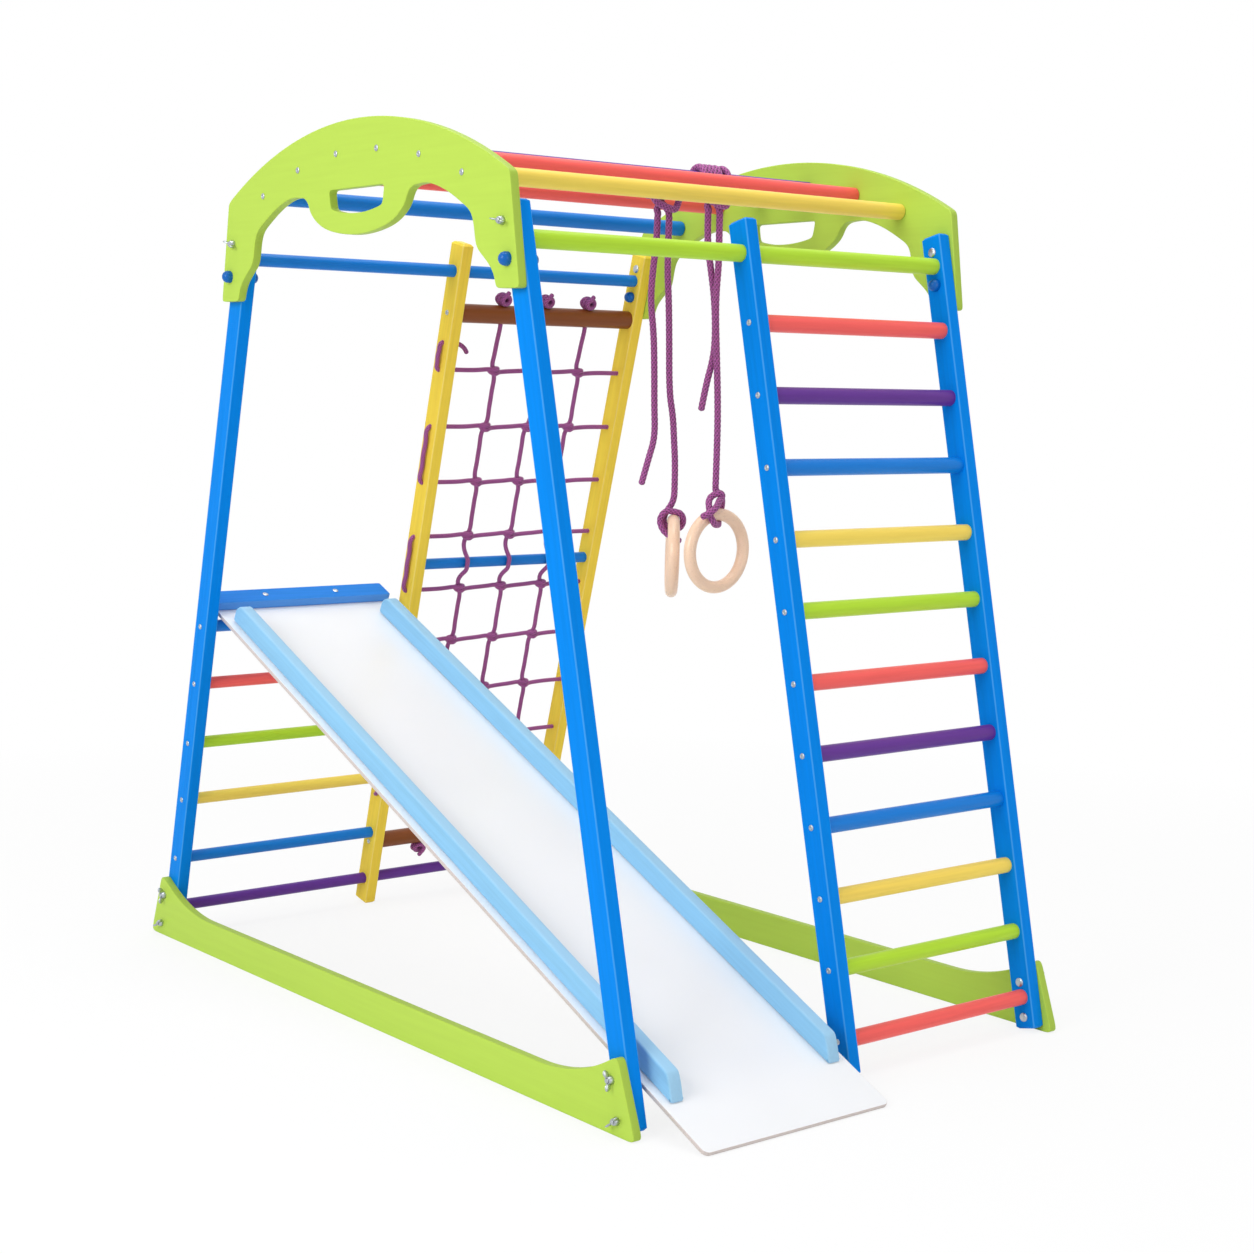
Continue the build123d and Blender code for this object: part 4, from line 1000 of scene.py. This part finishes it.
class TOWER_OT_fasteners(PieceOperator):
    """Make the screws, carriage bolts, wing nuts and round bolt caps"""
    bl_idname = "tower.fasteners"
    bl_label = "Fasteners"

    def make(self, sizes):
        heads = [screw_head(way * PLATE_FACE, way, *rod_place("monkey_bar_%d" % number))
                 for number in range(1, 7) for way in (-1, 1)]
        new_piece("bar_screw_heads", joined(heads), "zinc", "frame", ["bar_screws"])
        heads = []
        for node in ["ladder_rung_%d" % number for number in range(1, 12)] + ["net_top_rod", "net_bottom_rod"]:
            depth, height = rod_place(node)
            face = NET_POST_FACE if node.startswith("net") else MIDDLE_POST_FACE
            heads.append(screw_head(face, -1, depth, height))
            if COVERED_BELOW < height < COVERED_ABOVE:
                heads.append(screw_head(OUTER_FACE, 1, depth, height))
        for node in ["hook_rung"] + ["back_rung_%d" % number for number in range(1, 5)]:
            heads.append(screw_head(-OUTER_FACE, -1, *rod_place(node)))
        heads.append(screw_head(MIDDLE_POST_FACE, -1, *post_place(FRONT, FOOT_SCREW_PLACE)))
        new_piece("rung_screw_heads", joined(heads), "zinc", "frame", ["rung_screws"])
        bolts, nuts, caps = [], [], []
        for number, (side, place) in enumerate((s, p) for s in (FRONT, BACK) for p in NUT_PLACES):
            spot = post_place(side, place)
            for way in (-1, 1):
                bolts.append(turned_shape(dome_profile(*BOLT_DOME), (way * INNER_FACE, *spot), (-way, 0, 0), 24))
                nuts.append(wing_nut_shape(way * PLATE_FACE, way, *spot, 0.7 + 1.1 * number + 0.5 * way))
        new_piece("carriage_bolt_heads", joined(bolts), "zinc", "frame", ["carriage_bolts"])
        new_piece("wing_nut_set", joined(nuts), "zinc", "frame", ["wing_nuts"])
        for side in (FRONT, BACK):
            spot = post_place(side, CAP_PLACE)
            caps += [turned_shape(dome_profile(*CAP_DOME), (way * at, *spot), (way * out, 0, 0), 40)
                     for way in (-1, 1) for at, out in ((PLATE_FACE, 1), (INNER_FACE, -1))]
        new_piece("round_bolt_caps", joined(caps), "blue_cap", "frame", ["ball_cap_bolts"])
        profile = [(0, 0), (0, 4.8), (0.8, 5), (1.6, 3.6), (1.6, 2.2), (0.5, 1.6), (0.4, 0)]
        heads = [moved(turned_shape(profile, (x, 25.5, SHEET_TOP + BOARD_THICKNESS), (0, 0, 1), 24), on_slide)
                 for x in HOOK_PLACES]
        new_piece("slide_screw_heads", joined(heads), "zinc", "slide", ["slide_screws"])


class TOWER_OT_ropes(PieceOperator):
    """Make the two hanging ropes and their two loose ends as braided cords along their routes"""
    bl_idname = "tower.ropes"
    bl_label = "Ropes"

    def make(self, sizes):
        radius = sizes.hanging_rope / MM
        for name, facts in HANGERS.items():
            for part, route, body, length in (("rope", facts["rope"], name + "_rope", facts["length"]),
                                              ("rope_tail", facts["tail"], name + "_hitch", facts["tail_length"])):
                points = route_points(name + part, np.array(route, float) + facts["bar"])
                bare = part == "rope_tail"
                shape = rope_shape(points, radius, round_start=False, round_end=bare)
                node = "%s_%s" % (name, part)
                piece = new_piece(node + "_braid", shape, "purple_rope", body, [node], sharp=180)


def on_bar(x, degrees, reach):
    """Point beside a monkey bar: the angle runs from below it, up behind it and over its top."""
    angle = math.radians(degrees)
    return (x, reach * math.sin(angle), -reach * math.cos(angle))


def hitch_path(facts):
    """Rope from the hanging leg up behind the bar, round it in close slanting laps, down an
    arm to the left, across the leg's front and up on the right, over the bar beside the first
    lap, and down behind the leg into the loose end."""
    tail = facts["tail"][0]
    reach = BAR_RADIUS + ROPE + 0.2
    count = 10 + 11 * HITCH_LAPS
    share = np.linspace(0, 1, count)
    lap = [on_bar(HITCH_START + (HITCH_STOP - HITCH_START) * s, 70 + (215 + 360 * HITCH_LAPS) * s, reach)
           for s in share]
    points = [(0, 0, -PIVOT_DROP - 0.3), (0, 0.2, -47), (-1.5, 1.5, -39), (-6, 6, -31), (-11, 11.5, -23)] + lap
    points += [(HITCH_STOP + 2, -16, -18), (HITCH_STOP + 11, -14, -27), (-22, -13, -34), (-7, -12.5, -37),
               (3, -10.5, -36.5), (9, -8, -31), (11, -9.5, -23), (8, -14.5, -14)]
    points += [on_bar(-1.5, angle, reach + 0.1) for angle in (295, 260, 220, 180, 140, 100, 66)]
    points += [(-3, 18, -24), (-8, 18, -31), (tail[0] + 1, 16, -38), (tail[0] + 0.5, 13.4, -41),
               (tail[0], 13, -47), (tail[0], 13, tail[2] - 0.3)]
    return smooth_path(points)


class TOWER_OT_hitches(PieceOperator):
    """Make the hitches that hold the ropes on their monkey bars"""
    bl_idname = "tower.hitches"
    bl_label = "Hitches"

    def make(self, sizes):
        for name, facts in HANGERS.items():
            shape = rope_shape(hitch_path(facts), ROPE, False, False)
            shape = moved(shape, lambda points: points + np.array(facts["bar"]))
            new_piece(name + "_hitch_braid", shape, "purple_rope", name + "_hitch", [name + "_hitch"], sharp=180)


class TOWER_OT_rings(PieceOperator):
    """Make the two wooden rings and the knots that hold them"""
    bl_idname = "tower.rings"
    bl_label = "Rings"

    def make(self, sizes):
        u, v = np.meshgrid(np.linspace(0, 2 * np.pi, 97), full_turn(32), indexing="ij")
        around = RING_CIRCLE + RING_TUBE * np.cos(v)
        ring = np.stack([around * np.sin(u), RING_TUBE * np.sin(v), around * np.cos(u)], -1)
        for name, facts in HANGERS.items():
            end = np.array(facts["bar"]) + facts["rope"][-1]
            centre, angle = end - [0, 0, KNOT_RISE], math.radians(facts["turn"])
            wood = grid_shape(turned(ring + [facts["slip"], 0, 0], angle, 0, 1, centre))
            new_piece(name + "_ring_wood", wood, "beech_ring", name + "_ring", [name + "_ring"])
            knot = moved(rope_shape(smooth_path(facts["knot"]), ROPE, False, True),
                         lambda points: turned(points, angle, 0, 1, centre))
            new_piece(name + "_ring_knot_braid", knot, "purple_rope", name + "_ring", [name + "_ring_knot"],
                      sharp=180)


def studio_white(name, colour):
    """Matt pale floor paint that reads as the studio's white to the camera, to gloss and
    through glass. Near the object a sixth of what is seen is the lit floor, so it keeps the
    object's soft shadow; further out it fades into the white surroundings."""
    material, tree = new_material(name, Base_Color=colour, Roughness=0.9)
    path = add_node(tree, "ShaderNodeLightPath")
    seen = seen_white(tree, path)
    place = add_node(tree, "ShaderNodeTexCoord").outputs["Object"]
    away = add_node(tree, "ShaderNodeVectorMath", {0: place}, operation="LENGTH").outputs["Value"]
    shown = spread(tree, away, FLOOR_WHITE, FLOOR_FADE)
    share = add_node(tree, "ShaderNodeMath", {0: seen, 1: shown}, operation="MULTIPLY").outputs[0]
    glow = add_node(tree, "ShaderNodeEmission", {"Color": (1, 1, 1, 1), "Strength": 1.0}).outputs[0]
    paint = tree.nodes["Principled BSDF"].outputs[0]
    mix = add_node(tree, "ShaderNodeMixShader", {0: share, 1: paint, 2: glow})
    tree.links.new(mix.outputs[0], tree.nodes["Material Output"].inputs["Surface"])
    return material


def seen_white(tree, path):
    """One for rays from the camera, off gloss and through glass, and zero for the rest."""
    seen = path.outputs["Is Camera Ray"]
    for ray in ("Is Glossy Ray", "Is Transmission Ray"):
        seen = add_node(tree, "ShaderNodeMath", {0: seen, 1: path.outputs[ray]}, operation="MAXIMUM").outputs[0]
    return seen


def add_lamp(name, place, target, size, power):
    """Soft square lamp that looks at a point; place and target are in metres."""
    lamp = bpy.data.lights.new(name, "AREA")
    lamp.size = size
    lamp.energy = power
    way = Vector(target) - Vector(place)
    add_object(name, lamp).matrix_world = (
        Matrix.Translation(place) @ way.to_track_quat("-Z", "Y").to_matrix().to_4x4())


class TOWER_OT_stage(PieceOperator):
    """Make the floor, the lamps, the white surroundings and the photograph's camera"""
    bl_idname = "tower.stage"
    bl_label = "Stage"

    def make(self, sizes):
        scene = bpy.context.scene
        floor_mesh = bpy.data.meshes.new("studio_floor")
        corners = [(-1, -1, 0), (1, -1, 0), (1, 1, 0), (-1, 1, 0)]
        floor_mesh.from_pydata((np.array(corners) * FLOOR_REACH).tolist(), [], [(0, 1, 2, 3)])
        floor_mesh.materials.append(studio_white("matt white floor", colour_of("floor")))
        floor = add_object("studio_floor", floor_mesh)
        world = bpy.data.worlds.new("white studio")
        world.use_nodes = True
        scene.world = world
        tree = world.node_tree
        path = add_node(tree, "ShaderNodeLightPath")
        seen = seen_white(tree, path)
        glow = spread(tree, seen, (WORLD_LIGHT, 1.0), (0.0, 1.0))
        tree.links.new(glow, tree.nodes["Background"].inputs["Strength"])
        tree.nodes["Background"].inputs["Color"].default_value = (1, 1, 1, 1)
        for name, facts in LAMPS.items():
            add_lamp(name, *facts)
        camera = bpy.data.cameras.new("photo_camera")
        camera.sensor_width = SENSOR_MM
        camera.lens = FOCAL_PIXELS / PHOTO_SIDE * SENSOR_MM
        camera.shift_x = (PHOTO_SIDE / 2 - PRINCIPAL_POINT[0]) / PHOTO_SIDE
        camera.shift_y = (PRINCIPAL_POINT[1] - PHOTO_SIDE / 2) / PHOTO_SIDE
        camera.clip_end = 100
        cy, sy = math.cos(CAMERA_YAW), math.sin(CAMERA_YAW)
        cp, sp = math.cos(CAMERA_PITCH), math.sin(CAMERA_PITCH)
        ahead = np.array([sy * cp, cy * cp, -sp])
        right = np.array([cy, -sy, 0])
        up = np.cross(right, ahead)
        c, s = math.cos(CAMERA_ROLL), math.sin(CAMERA_ROLL)
        columns = np.stack([right * c + up * s, up * c - right * s, -ahead], 1)
        pose = np.eye(4)
        pose[:3, :3] = columns
        pose[:3, 3] = np.array(CAMERA_AT) * MM
        scene.camera = add_object("photo_camera", camera)
        scene.camera.matrix_world = Matrix(pose.tolist())
        scene.view_settings.view_transform = "Standard"


STEPS = ("stage", "ropes", "hitches", "rings", "posts", "rods", "plates", "net", "slide", "fasteners")


class TOWER_PT_panel(bpy.types.Panel):
    """Panel that lists the tower's settings and its operators"""
    bl_idname = "TOWER_PT_panel"
    bl_label = "Climbing tower"
    bl_space_type = "VIEW_3D"
    bl_region_type = "UI"
    bl_category = "Climbing tower"

    def draw(self, context):
        for group in (context.scene.tower_sizes, context.scene.tower_colours):
            box = self.layout.box()
            for name in group.__annotations__:
                box.prop(group, name)
        for step in STEPS:
            self.layout.operator("tower." + step)


CLASSES = (
    TowerColours, TowerSizes, TOWER_OT_stage, TOWER_OT_ropes, TOWER_OT_hitches, TOWER_OT_rings, TOWER_OT_posts,
    TOWER_OT_rods, TOWER_OT_plates, TOWER_OT_net, TOWER_OT_slide, TOWER_OT_fasteners, TOWER_PT_panel)


def register():
    """Register the classes and hang the settings on the scene."""
    for each in CLASSES:
        bpy.utils.register_class(each)
    bpy.types.Scene.tower_colours = bpy.props.PointerProperty(type=TowerColours)
    bpy.types.Scene.tower_sizes = bpy.props.PointerProperty(type=TowerSizes)


def unregister():
    """Take the settings off the scene and unregister the classes."""
    del bpy.types.Scene.tower_sizes
    del bpy.types.Scene.tower_colours
    for each in reversed(CLASSES):
        bpy.utils.unregister_class(each)


def main():
    """Make every piece in order."""
    register()
    for step in STEPS:
        getattr(bpy.ops.tower, step)()


if __name__ == "__main__":
    main()
